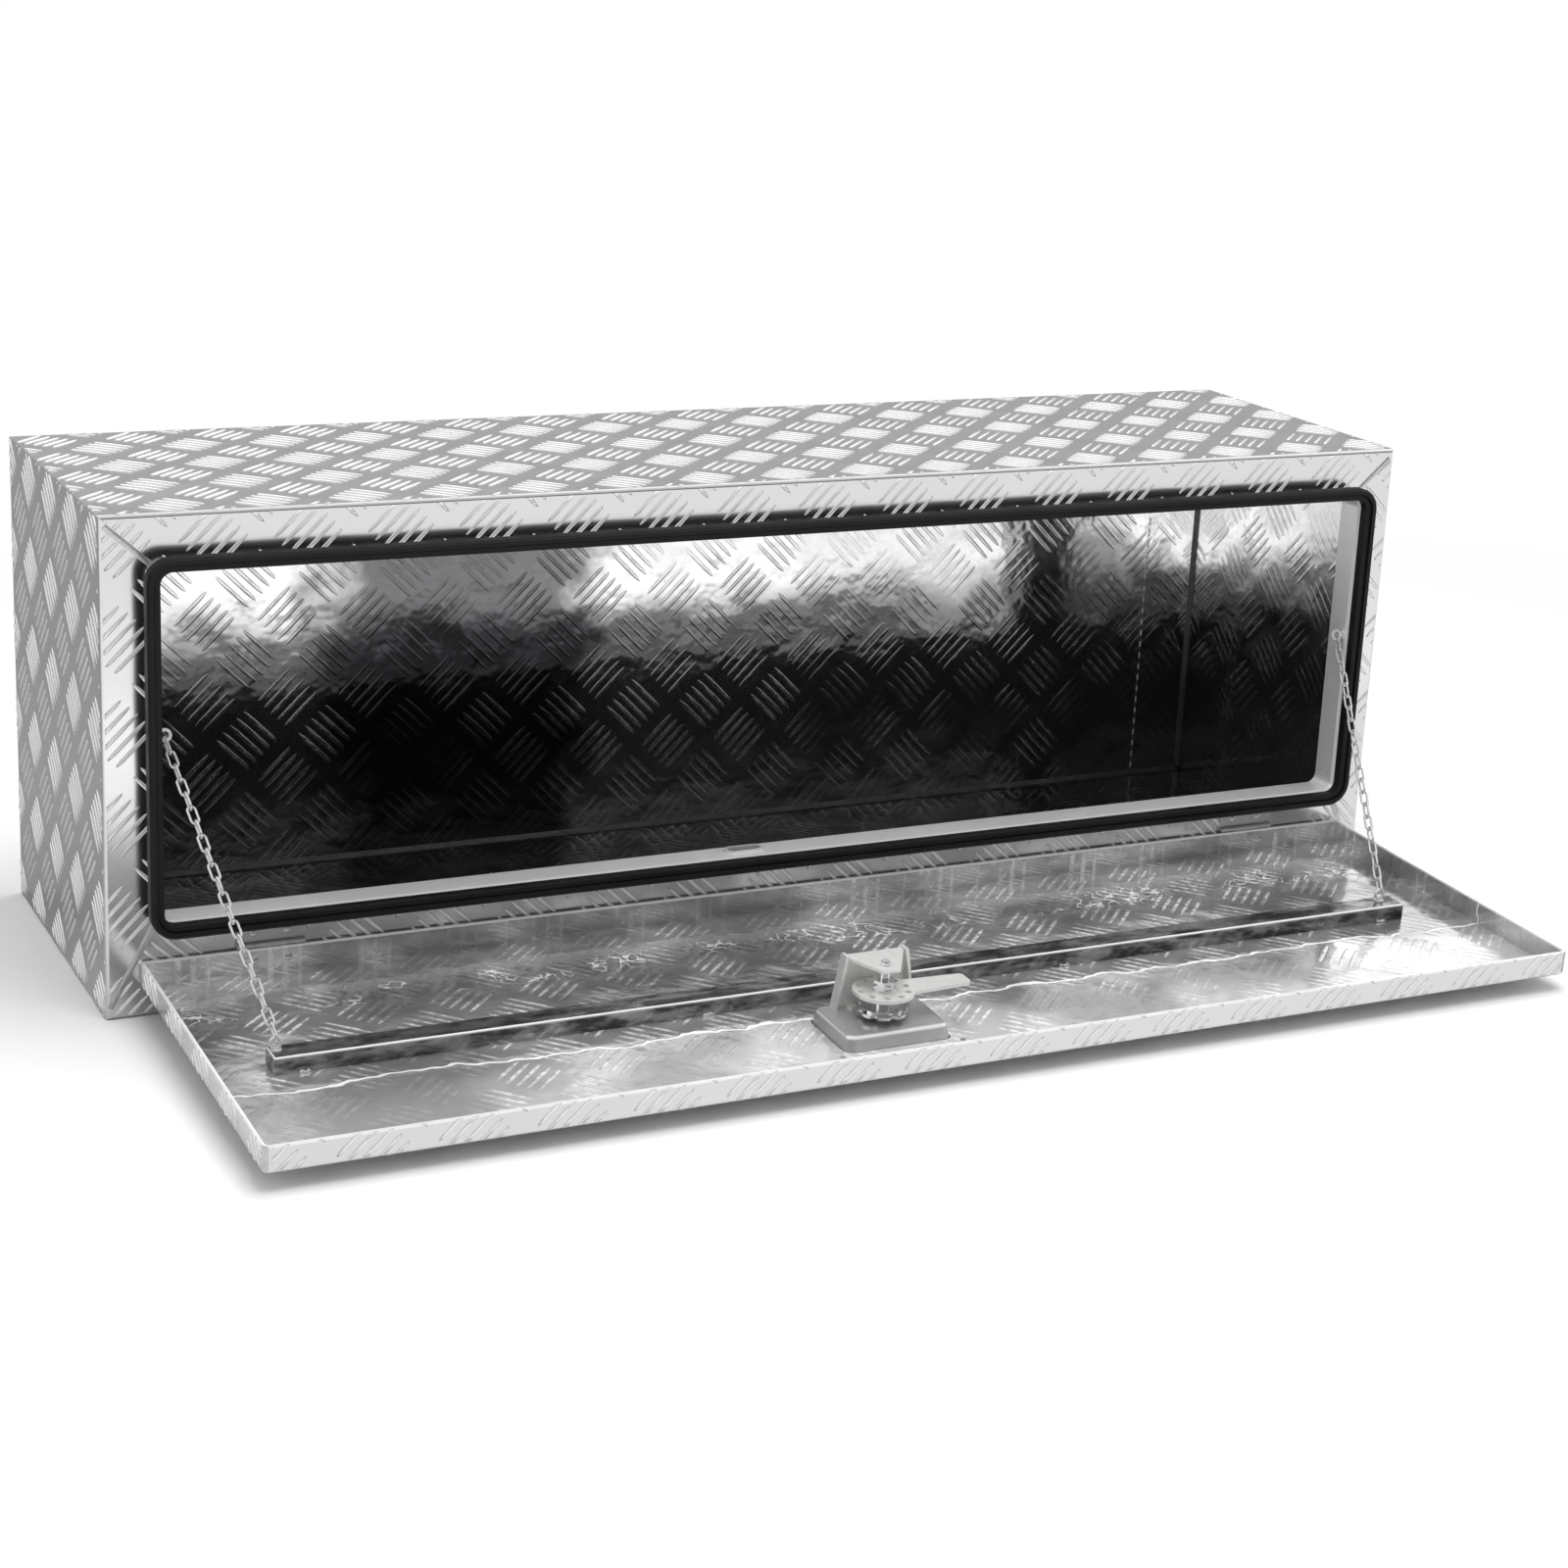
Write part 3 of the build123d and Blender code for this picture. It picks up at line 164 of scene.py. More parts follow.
class Wire:
    """One shader socket. Python's operators on it add Math nodes."""

    def __init__(self, board, socket):
        self.board = board
        self.socket = socket

    def _math(self, operation, first, second=None):
        values = {0: first}
        if second is not None:
            values[1] = second
        return self.board.node("ShaderNodeMath", {"operation": operation}, values)

    def __add__(self, other):
        return self._math("ADD", self, other)

    def __radd__(self, other):
        return self._math("ADD", other, self)

    def __sub__(self, other):
        return self._math("SUBTRACT", self, other)

    def __rsub__(self, other):
        return self._math("SUBTRACT", other, self)

    def __mul__(self, other):
        return self._math("MULTIPLY", self, other)

    def __rmul__(self, other):
        return self._math("MULTIPLY", other, self)

    def __truediv__(self, other):
        return self._math("DIVIDE", self, other)

    def __gt__(self, other):
        return self._math("GREATER_THAN", self, other)

    def __lt__(self, other):
        return self._math("LESS_THAN", self, other)

    def __mod__(self, other):
        return self._math("FLOORED_MODULO", self, other)

    def __abs__(self):
        return self._math("ABSOLUTE", self)

    def rounded(self):
        return self._math("ROUND", self)

    def at_least(self, other):
        return self._math("MAXIMUM", self, other)

    def at_most(self, other):
        return self._math("MINIMUM", self, other)

    def power(self, other):
        return self._math("POWER", self, other)


class Board:
    """A node tree under construction."""

    def __init__(self, tree):
        self.tree = tree
        tree.nodes.clear()

    def node(self, kind, settings=None, values=None, output=0):
        made = self.tree.nodes.new(kind)
        for key, value in (settings or {}).items():
            setattr(made, key, value)
        for key, value in (values or {}).items():
            socket = made.inputs[key]
            if isinstance(value, Wire):
                self.tree.links.new(value.socket, socket)
            else:
                socket.default_value = value
        return Wire(self, made.outputs[output])

    def out(self, kind, **links):
        made = self.tree.nodes.new(kind)
        for key, wire in links.items():
            self.tree.links.new(wire.socket, made.inputs[key])

    def point(self):
        """The point in the object's own coordinates."""
        return self.node("ShaderNodeTexCoord", output="Object")

    def parts(self, vector):
        """x, y and z of a vector."""
        kind = "ShaderNodeSeparateXYZ"
        return [self.node(kind, values={0: vector}, output=k) for k in range(3)]

    def is_ray(self, kind):
        """1 for rays of a kind, Camera or Glossy."""
        return self.node("ShaderNodeLightPath", output="Is " + kind + " Ray")

    def noise(self, point, scale, detail, roughness=0.5):
        return self.node(
            "ShaderNodeTexNoise",
            values={"Vector": point, "Scale": scale, "Detail": detail, "Roughness": roughness})

    def stretched(self, point, scales):
        return self.node("ShaderNodeMapping", values={"Vector": point, "Scale": scales})

    def blend(self, factor, low, high):
        return self.node(
            "ShaderNodeMix", {"data_type": "RGBA"}, {"Factor": factor, 6: low, 7: high}, output=2)

    def ease(self, value, low, high, to_low=0.0, to_high=1.0):
        return self.node(
            "ShaderNodeMapRange", {"interpolation_type": "SMOOTHSTEP"},
            {"Value": value, "From Min": low, "From Max": high, "To Min": to_low,
             "To Max": to_high})

    def pale(self, tone, blue=0.0):
        """A grey of that tone, with that much more blue."""
        return self.node("ShaderNodeCombineColor", values={0: tone, 1: tone, 2: tone + blue})

    def bump(self, height):
        return self.node(
            "ShaderNodeBump", values={"Height": height, "Distance": 1.0, "Strength": 1.0})


def grey(value):
    return (value, value, value, 1.0)


def new_material(name):
    material = bpy.data.materials.new(name)
    material.use_nodes = True
    return material, Board(material.node_tree)


def finish_metal(board, colour, roughness, height, metallic=1.0):
    shader = board.node("ShaderNodeBsdfPrincipled", values={
        "Base Color": colour, "Roughness": roughness, "Metallic": metallic,
        "Normal": board.bump(height)})
    board.out("ShaderNodeOutputMaterial", Surface=shader)


# Tread pattern in the sheets


def bar_pattern(board, across, up, phase):
    """Height from 0 to 1 of the five-bar groups over two plane coordinates."""
    cell = TREAD_PERIOD / math.sqrt(2.0)
    turn = 1.0 / (math.sqrt(2.0) * cell)
    u = across - phase[0]
    v = up - phase[1]
    along_cells = (u + v) * turn
    side_cells = (u - v) * turn
    row = along_cells.rounded()
    column = side_cells.rounded()
    along = (along_cells - row) * cell
    side = (side_cells - column) * cell
    odd = (row + column) % 2.0
    length_way = along + (side - along) * odd
    width_way = side + (along - side) * odd
    bar = (width_way / BAR_SPACING).rounded().at_least(-2.0).at_most(2.0)
    off_bar = (width_way - bar * BAR_SPACING) / (BAR_WIDTH * 0.5)
    reach = BAR_LENGTHS[2] * 0.5 - abs(bar) * BAR_TAPER
    off_end = length_way / reach
    lens = 1.0 - off_bar * off_bar - off_end * off_end * off_end * off_end
    return lens.at_least(0.0).power(0.5)


def door_look(board, y, z, point):
    """Tone and metal share of the door's inside: duller metal towards its front edge."""
    front = board.ease(y, DOOR_FRONT_Y, DOOR_MIDDLE_Y, 1.0, 0.0)
    return 1.02 + front * 0.03, 0.80 - front * 0.34


def box_painted_sheen_and_shade(board, y, z, point):
    """The same of the box's inside: painted sheen above and painted shade below, along a ragged
    border.
    """
    ragged = board.noise(point, 11.0, 3.0, 0.6)
    level = z + (ragged - 0.5) * BORDER_RAGGEDNESS
    return board.ease(level, SHADE_BELOW_Z, SHEEN_ABOVE_Z, 0.40, 1.22), 0.95


def levelled(y, z):
    """The door hangs a little; y and z as they would be on a level door."""
    dy = y - HINGE_AXIS.y
    dz = z - HINGE_AXIS.z
    return (
        dy * math.cos(DROOP) + dz * math.sin(DROOP) + HINGE_AXIS.y,
        dz * math.cos(DROOP) - dy * math.sin(DROOP) + HINGE_AXIS.z)


def sheet_material(
        name, plane, inside, phase, look=box_painted_sheen_and_shade, inner_rough=0.06, streak_drop=0.10,
        dullest=0.84, extra=None, underside=None, edge=None, level=False):
    """Polished tread plate: satin outside, mirror-bright and wavy inside with the bars
    showing through as soft dents and worn streaks."""
    material, board = new_material(name)
    point = board.point()
    x, y, z = board.parts(point)
    if level:
        y, z = levelled(y, z)
    places = {"x": x, "y": y, "z": z}
    inner = inside(x, y, z)
    bars = bar_pattern(board, places[plane[0]], places[plane[1]], phase)
    swell = board.noise(point, 13.0, 1.0)
    ripple = board.noise(point, 38.0, 2.0)
    smudge = board.noise(point, 21.0, 4.0, 0.6)
    patches = board.noise(point, 8.0, 3.0, 0.55)
    scuffs = board.noise(point, 150.0, 3.0, 0.6)
    grain = board.noise(point, 900.0, 2.0)
    worn = board.ease(patches, 0.40, 0.56, 0.25, 1.0)
    streak = worn * bars * board.ease(scuffs, 0.34, 0.62, 0.2, 1.0)
    height = inner * (worn * bars * DENT_DEPTH + swell * INNER_SWELL + ripple * INNER_RIPPLE)
    height = height + (1.0 - inner) * (swell * OUTER_SWELL)
    if underside is not None:
        height = height + underside(z) * bars * BAR_RISE
    height = height + grain * GRAIN
    satin = OUTER_ROUGHNESS + smudge * 0.08
    rough = satin + inner * (inner_rough + streak * 0.22 - OUTER_ROUGHNESS)
    inner_tone, inner_metal = look(board, y, z, point)
    shade = inner_tone * board.ease(patches, 0.38, 0.60, dullest, 1.0) * (0.88 + scuffs * 0.24)
    metal = inner_metal - streak * streak_drop
    if extra is not None:
        shade, metal, height = extra(board, x, y, z, point, inner, shade, metal, height)
    tone = OUTER_TONE + smudge * 0.05
    tone = tone * (1.0 - inner * (1.0 - shade))
    metallic = 1.0 - inner * (1.0 - metal)
    if edge is not None:
        # Painted highlight along the top edge of the door: pale and less metallic.
        rim = edge(z)
        tone = tone + rim * (0.98 - tone)
        metallic = metallic * (1.0 - rim * 0.75)
    finish_metal(board, board.pale(tone.at_most(BRIGHTEST), BLUE), rough, height, metallic)
    return material


def bright_line(board, offset, half_width):
    """1 on a line, falling to 0 half a width off it."""
    return board.ease(abs(offset), half_width * 0.4, half_width, 1.0, 0.0)


# Where the top edge of the door gets its painted highlight.
def door_rim_painted_highlight(z):
    return z > DOOR_RIM_Z - RIM_HIGHLIGHT_DEPTH


def door_painted_highlights(board, x, y, z, point, inner, shade, metal, height):
    """A wavy raised ridge before the stiffener and small curls by the hinge, both with painted
    highlights.
    """
    wave = board.noise(point, 6.0, 3.0, 0.6)
    shiver = board.noise(point, 34.0, 2.0)
    ridge_y = RIDGE_Y + (wave - 0.5) * (34.0 * MM) + (shiver - 0.5) * (26.0 * MM)
    ridge = bright_line(board, y - ridge_y, shiver * (4.6 * MM))
    curls = board.noise(point, 75.0, 1.0)
    clusters = board.noise(point, 19.0, 1.0)
    near_hinge = board.ease(abs(y - CURLS_Y), 12.0 * MM, 24.0 * MM, 1.0, 0.0)
    curl = bright_line(board, curls - 0.52, 0.035) * near_hinge
    curl = curl * board.ease(clusters, 0.45, 0.54)
    # Painted highlights: pale, less metallic lines along the ridge and the curls.
    painted_glint = ridge.at_least(curl * 0.8) * inner
    shade = shade + painted_glint * 0.30
    return shade, metal - painted_glint * 0.70, height + painted_glint * (0.5 * MM)


def back_painted_reflection_and_welds(board, x, y, z, point, inner, shade, metal, height):
    """A painted dark reflection left of the middle, and a row of spot welds near each end."""
    drift = board.noise(point, 16.0, 3.0, 0.6)
    # Painted dark reflection: the back darkens in a ragged band left of the middle.
    off_painted_dark = abs(x - PAINTED_DARK_X + (drift - 0.5) * (150.0 * MM))
    dull_tone_and_painted_dark = board.ease(off_painted_dark, 95.0 * MM, 160.0 * MM, 1.0, 0.0)
    shade = shade * (1.0 - dull_tone_and_painted_dark * 0.80)
    line = bright_line(board, abs(x) - SEAM_X, 1.6 * MM) * inner
    spots = z / SPOT_PITCH - (z / SPOT_PITCH).rounded()
    spot = line * board.ease(abs(spots), 0.16, 0.30, 1.0, 0.25)
    return shade + spot * 0.5, metal - spot * 0.55, height + spot * (0.4 * MM)


def inside_box(x, y, z):
    deep = (y > FRONT_Y + HALF_SHEET) * (y < BOX_HALF_DEPTH - HALF_SHEET)
    long = abs(x) < BOX_HALF_LENGTH - HALF_SHEET
    return long * deep * (z > HALF_SHEET) * (z < BOX_HEIGHT - HALF_SHEET)


def inside_door(x, y, z):
    deep = (y < DOOR_BACK_Y - HALF_SHEET) * (y > DOOR_BACK_Y - DOOR_REACH + HALF_SHEET)
    return (abs(x) < DOOR_HALF - HALF_SHEET) * deep * (z > DOOR_SKIN_Z + HALF_SHEET)


def under_box(z):
    return z < HALF_SHEET


# Other finishes


def bar_material(name, metallic):
    material, board = new_material(name)
    point = board.point()
    smudge = board.noise(point, 60.0, 3.0)
    grain = board.noise(point, 1400.0, 2.0)
    colour = board.pale(0.90 + smudge * 0.08, 0.005)
    finish_metal(board, colour, 0.16 + smudge * 0.12, grain * (0.006 * MM), metallic)
    return material


def plain_sheet_material(name, shade, rough, swell_height, metallic):
    material, board = new_material(name)
    point = board.point()
    swell = board.noise(point, 18.0, 1.0)
    drawn = board.noise(board.stretched(point, (6.0, 260.0, 260.0)), 1.0, 3.0)
    smudge = board.noise(point, 35.0, 3.0)
    colour = board.pale(shade + smudge * 0.06 + drawn * 0.04, BLUE)
    height = swell * swell_height + drawn * (0.02 * MM)
    finish_metal(board, colour, rough + smudge * 0.08, height, metallic)
    return material


def channel_material():
    """The stiffener: mottled and dim, with a painted highlight along its upper bend."""
    material, board = new_material("channel_aluminium")
    point = board.point()
    y, z = board.parts(point)[1:]
    off_top = CHANNEL_TOP_Z - levelled(y, z)[1]
    # Painted highlight: the upper bend is made pale and less metallic.
    bend = board.ease(off_top, 0.8 * MM, 2.6 * MM, 1.0, 0.0)
    bend = bend * board.ease(off_top, 0.05 * MM, 0.3 * MM)
    mottle = board.noise(board.stretched(point, (24.0, 70.0, 70.0)), 1.0, 4.0, 0.65)
    swell = board.noise(point, 30.0, 2.0)
    dull_tone_and_painted_dark = board.ease(mottle, 0.38, 0.62, 0.07, 0.40)
    colour = board.pale(dull_tone_and_painted_dark + bend * (0.97 - dull_tone_and_painted_dark), BLUE)
    height = swell * (1.6 * MM) + mottle * (0.3 * MM)
    finish_metal(board, colour, 0.16 + mottle * 0.10, height, 0.88 - bend * 0.6)
    return material


def dish_material():
    """Pressed steel, drawn satin, with a painted highlight along the rounded top edge."""
    material, board = new_material("dish_steel_satin")
    point = board.point()
    y, z = board.parts(point)[1:]
    dish_top = max(levelled(v.co.y, v.co.z)[1] for v in nodes["latch_dish"].data.vertices)
    off_top = dish_top - levelled(y, z)[1]
    mottle = board.noise(point, 90.0, 4.0, 0.6)
    drawn = board.noise(board.stretched(point, (14.0, 420.0, 420.0)), 1.0, 3.0)
    broad = board.noise(point, 16.0, 1.0)
    # Painted highlight: a pale, less metallic band just below the top, on the rounded edge.
    edge_highlight = board.ease(off_top, 0.3 * MM, 1.2 * MM)
    edge_highlight = edge_highlight * board.ease(off_top, 1.8 * MM, 3.4 * MM, 1.0, 0.0)
    tone = 0.57 + mottle * 0.10 + drawn * 0.08 + broad * 0.16
    colour = board.pale(tone + edge_highlight * (0.94 - tone), 0.01)
    height = drawn * (0.03 * MM) + mottle * (0.02 * MM)
    finish_metal(board, colour, 0.26 + mottle * 0.14, height, 0.85 - edge_highlight * 0.35)
    return material


def cast_material(name, colour_values, rough, mottle_scale, pits, metallic=1.0):
    """Plated or rolled metal: slightly mottled, with fine pits."""
    material, board = new_material(name)
    point = board.point()
    mottle = board.noise(point, mottle_scale, 4.0, 0.6)
    grain = board.noise(point, mottle_scale * 9.0, 2.0)
    low = tuple(c * 0.86 for c in colour_values) + (1.0,)
    high = tuple(min(c * 1.10, 1.0) for c in colour_values) + (1.0,)
    colour = board.blend(mottle, low, high)
    height = grain * pits + mottle * (pits * 2.0)
    finish_metal(board, colour, rough + mottle * 0.12, height, metallic)
    return material


def weld_material(name, low_tone):
    material, board = new_material(name)
    point = board.point()
    beads = board.noise(point, 420.0, 2.0)
    lumps = board.noise(point, 120.0, 3.0)
    colour = board.pale(low_tone + lumps * (low_tone * 0.7))
    height = beads * (0.25 * MM) + lumps * (0.6 * MM)
    finish_metal(board, colour, 0.34 + beads * 0.16, height)
    return material


def rubber_material():
    material, board = new_material("seal_rubber_black")
    point = board.point()
    dust = board.noise(point, 30.0, 5.0, 0.65)
    skin = board.noise(point, 1200.0, 2.0)
    colour = board.blend(dust, (0.004, 0.004, 0.005, 1.0), (0.016, 0.016, 0.017, 1.0))
    shader = board.node("ShaderNodeBsdfPrincipled", values={
        "Base Color": colour, "Roughness": 0.40 + dust * 0.16, "Specular IOR Level": 0.22,
        "Normal": board.bump(skin * (0.01 * MM))})
    board.out("ShaderNodeOutputMaterial", Surface=shader)
    return material


# Raised bars


def join_rings(bm, first, second):
    """The faces between two rings of corners."""
    for k in range(len(first)):
        after = (k + 1) % len(first)
        bm.faces.new((second[k], first[k], first[after], second[after]))


def add_bar(bm, matrix):
    """One bar: a ball with its length squared off, which the matrix sizes and places. It is
    built face by face, since the order in Blender's own ball changes from run to run."""
    tips = [bm.verts.new(matrix @ Vector((0.0, 0.0, end))) for end in (1.0, -1.0)]
    rings = []
    for step in range(1, BAR_RINGS):
        polar = math.pi * step / BAR_RINGS
        ring = []
        for side in range(BAR_SIDES):
            turn = math.tau * side / BAR_SIDES
            x = math.sin(polar) * math.cos(turn)
            y = math.sin(polar) * math.sin(turn)
            point = Vector((math.copysign(abs(x) ** BAR_SQUARENESS, x), y, math.cos(polar)))
            ring.append(bm.verts.new(matrix @ point))
        rings.append(ring)
    for upper, lower in zip(rings, rings[1:]):
        join_rings(bm, lower, upper)
    for side in range(BAR_SIDES):
        after = (side + 1) % BAR_SIDES
        bm.faces.new((tips[0], rings[0][side], rings[0][after]))
        bm.faces.new((tips[1], rings[-1][after], rings[-1][side]))


def group_mesh(heading):
    """Five bars side by side, lens shaped, half sunk in the sheet."""
    bm = bmesh.new()
    for k, length in enumerate(BAR_LENGTHS):
        add_bar(bm, (
            Matrix.Rotation(heading, 4, "Z")
            @ Matrix.Translation((0.0, BAR_SPACING * (k - 2), 0.0))
            @ Matrix.Diagonal((length * 0.5, BAR_WIDTH * 0.5, BAR_RISE, 1.0))))
    mesh = bpy.data.meshes.new("bar_group")
    bm.to_mesh(mesh)
    bm.free()
    return mesh


def group_centres(rectangle, phase):
    """Centre and direction of every group that reaches into a rectangle of the face."""
    u_low, u_high, v_low, v_high = rectangle
    half = TREAD_PERIOD * 0.5
    columns = range(
        math.floor((u_low - phase[0]) / half) - 1, math.ceil((u_high - phase[0]) / half) + 2)
    rows = range(
        math.floor((v_low - phase[1]) / half) - 1, math.ceil((v_high - phase[1]) / half) + 2)
    for i in columns:
        for j in rows:
            if (i + j) % 2 == 0:
                yield phase[0] + half * i, phase[1] + half * j, i % 2


def keep_side(bm, point, outward):
    """Cuts the mesh at a plane, drops what is outward of it and closes the cut."""
    geometry = bm.verts[:] + bm.edges[:] + bm.faces[:]
    cut = bmesh.ops.bisect_plane(
        bm, geom=geometry, dist=TOLERANCE, plane_co=point, plane_no=outward, clear_outer=True)
    edges = [e for e in cut["geom_cut"] if isinstance(e, bmesh.types.BMEdge)]
    if edges:
        bmesh.ops.holes_fill(bm, edges=edges, sides=0)


def crosses(centre, point, outward):
    """-1 well inside the plane, 0 across it, 1 well outside it."""
    off = (Vector((*centre, 0.0)) - point).dot(outward.normalized())
    if off < -GROUP_REACH:
        return -1
    return 1 if off > GROUP_REACH else 0


def tread_bars(name, body, plane, rectangle, phase, cuts=(), holes=(), material=None):
    """The raised bars of one flat face. plane maps (u, v, height) to the object's frame."""
    u_low, u_high, v_low, v_high = rectangle
    borders = [
        (Vector((u_low, 0.0, 0.0)), Vector((-1.0, 0.0, 0.0))),
        (Vector((u_high, 0.0, 0.0)), Vector((1.0, 0.0, 0.0))),
        (Vector((0.0, v_low, 0.0)), Vector((0.0, -1.0, 0.0))),
        (Vector((0.0, v_high, 0.0)), Vector((0.0, 1.0, 0.0)))]
    borders += [(Vector((*point, 0.0)), Vector((*outward, 0.0))) for point, outward in cuts]
    whole = bmesh.new()
    for u, v, kind in group_centres(rectangle, phase):
        if any(abs(u - hu) < ru and abs(v - hv) < rv for hu, hv, ru, rv in holes):
            continue
        sides = [crosses((u, v), point, outward) for point, outward in borders]
        if 1 in sides:
            continue
        mesh = GROUPS[kind].copy()
        mesh.transform(Matrix.Translation((u, v, 0.0)))
        if 0 in sides:
            part = bmesh.new()
            part.from_mesh(mesh)
            for (point, outward), side in zip(borders, sides):
                if side == 0 and part.verts:
                    keep_side(part, point, outward)
            part.to_mesh(mesh)
            part.free()
        whole.from_mesh(mesh)
        bpy.data.meshes.remove(mesh)
    whole.transform(plane)
    if plane.determinant() < 0.0:
        bmesh.ops.reverse_faces(whole, faces=whole.faces[:])
    finish_piece(whole, name, body, material or BARS)


def finish_piece(bm, name, body, material):
    mesh = bpy.data.meshes.new(name)
    bm.to_mesh(mesh)
    bm.free()
    mesh.shade_smooth()
    mesh.materials.append(material)
    piece = bpy.data.objects.new(name, mesh)
    bpy.context.scene.collection.objects.link(piece)
    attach(piece, body)
    return piece


def face_plane(origin, u_axis, v_axis, normal):
    """The matrix that takes plane coordinates and height on to a face."""
    matrix = Matrix((u_axis, v_axis, normal)).transposed().to_4x4()
    matrix.translation = origin
    return matrix


def chain_link(name, body, place, way, x_dir, inner_length):
    """One oval link of round wire: rings of corners along its two bends, joined all round."""
    bend = LINK_WIDTH * 0.5 - LINK_WIRE
    half_run = inner_length * 0.5 - bend + LINK_WIRE
    bm = bmesh.new()
    rings = []
    for end in (1.0, -1.0):
        for step in range(LINK_TURN_STEPS + 1):
            turn = math.pi * step / LINK_TURN_STEPS
            outward = Vector((math.cos(turn), 0.0, math.sin(turn))) * end
            middle = Vector((0.0, 0.0, half_run * end)) + outward * bend
            ring = []
            for side in range(LINK_SIDES):
                angle = math.tau * side / LINK_SIDES
                off = outward * math.cos(angle) + Vector((0.0, math.sin(angle), 0.0))
                ring.append(bm.verts.new(middle + off * LINK_WIRE))
            rings.append(ring)
    for ring, following in zip(rings, rings[1:] + rings[:1]):
        join_rings(bm, ring, following)
    y_dir = way.cross(x_dir)
    bm.transform(face_plane(place, x_dir, y_dir, way))
    finish_piece(bm, name, body, CHAIN)


def middle_links():
    """The two links that join the halves of each chain, one riding each half."""
    places = {joint["name"]: Vector(joint["pos_m"]) for joint in frame["joints"]}
    for side in ("left", "right"):
        upper = places[side + "_chain_upper_swing"]
        lower = places[side + "_chain_lower_swing"]
        way = (lower - upper).normalized()
        pitch = ((lower - upper).length + EYE_ROOM * 2.0 - LINK_GAP) / LINKS
        in_plane = Vector((1.0, 0.0, 0.0)).cross(way).normalized()
        across = in_plane.cross(way).normalized()
        for step, half, x_dir in ((0, "upper", in_plane), (1, "lower", across)):
            reach = pitch * (UPPER_LINKS + step + 0.5) + LINK_GAP * 0.5 - EYE_ROOM
            chain_link(
                side + "_middle_link_" + half, side + "_chain_" + half, upper + way * reach,
                way, x_dir, pitch + LINK_GAP)


def tack_beads():
    """Each short weld of the stiffener, swollen and lumpy."""
    bm = bmesh.new()
    bm.from_mesh(nodes["stiffener_tack_welds"].data)
    bmesh.ops.remove_doubles(bm, verts=bm.verts[:], dist=TOLERANCE)
    bmesh.ops.subdivide_edges(bm, edges=bm.edges[:], cuts=TACK_CUTS, use_grid_fill=True)
    for _ in range(TACK_SMOOTHINGS):
        bmesh.ops.smooth_vert(
            bm, verts=bm.verts[:], factor=0.5, use_axis_x=True, use_axis_y=True, use_axis_z=True)
    bm.normal_update()
    for vert in bm.verts:
        lump = sum(noise.noise(vert.co * fineness) * rise for fineness, rise in TACK_LUMPS)
        vert.co += vert.normal * (TACK_SWELLING + lump)
    material = weld_material("weld_spot_bright", 0.58)
    piece = finish_piece(bm, "stiffener_tack_beads", "door", material)
    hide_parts("stiffener_tack_welds")


def droop_matrix():
    return (
        Matrix.Translation(HINGE_AXIS) @ Matrix.Rotation(DROOP, 4, "X")
        @ Matrix.Translation(-HINGE_AXIS))


BARS = bar_material("raised_bar_satin", 0.60)
# Painted light: a lit copy of the bar finish, less metallic so the bars under the seal read
# bright.
LIT_COPY_BARS = bar_material("raised_bar_lit_copy", 0.35)
CHAIN = cast_material("chain_plated", (0.84, 0.84, 0.85), 0.16, 200.0, 0.006 * MM, 0.85)
GROUPS = [group_mesh(math.radians(45.0)), group_mesh(math.radians(-45.0))]


def lay_box_bars():
    depth = (FRONT_Y + BEND, BOX_HALF_DEPTH - BORDER)
    length = (-BOX_HALF_LENGTH + BORDER, BOX_HALF_LENGTH - BORDER)
    height = (BORDER, BOX_HEIGHT - BORDER)
    plane = face_plane((0, 0, BOX_HEIGHT), (1, 0, 0), (0, 1, 0), (0, 0, 1))
    tread_bars("top_tread_bars", "box", plane, (*length, *depth), FLOOR_PHASE)
    for side, word in ((-1, "left"), (1, "right")):
        plane = face_plane((side * BOX_HALF_LENGTH, 0, 0), (0, 1, 0), (0, 0, 1), (side, 0, 0))
        tread_bars(word + "_end_tread_bars", "box", plane, (*depth, *height), END_PHASE)
    plane = face_plane((0, BOX_HALF_DEPTH, 0), (1, 0, 0), (0, 0, 1), (0, 1, 0))
    tread_bars("back_tread_bars", "box", plane, (*length, *height), FRONT_PHASE)
    lay_front_bars()


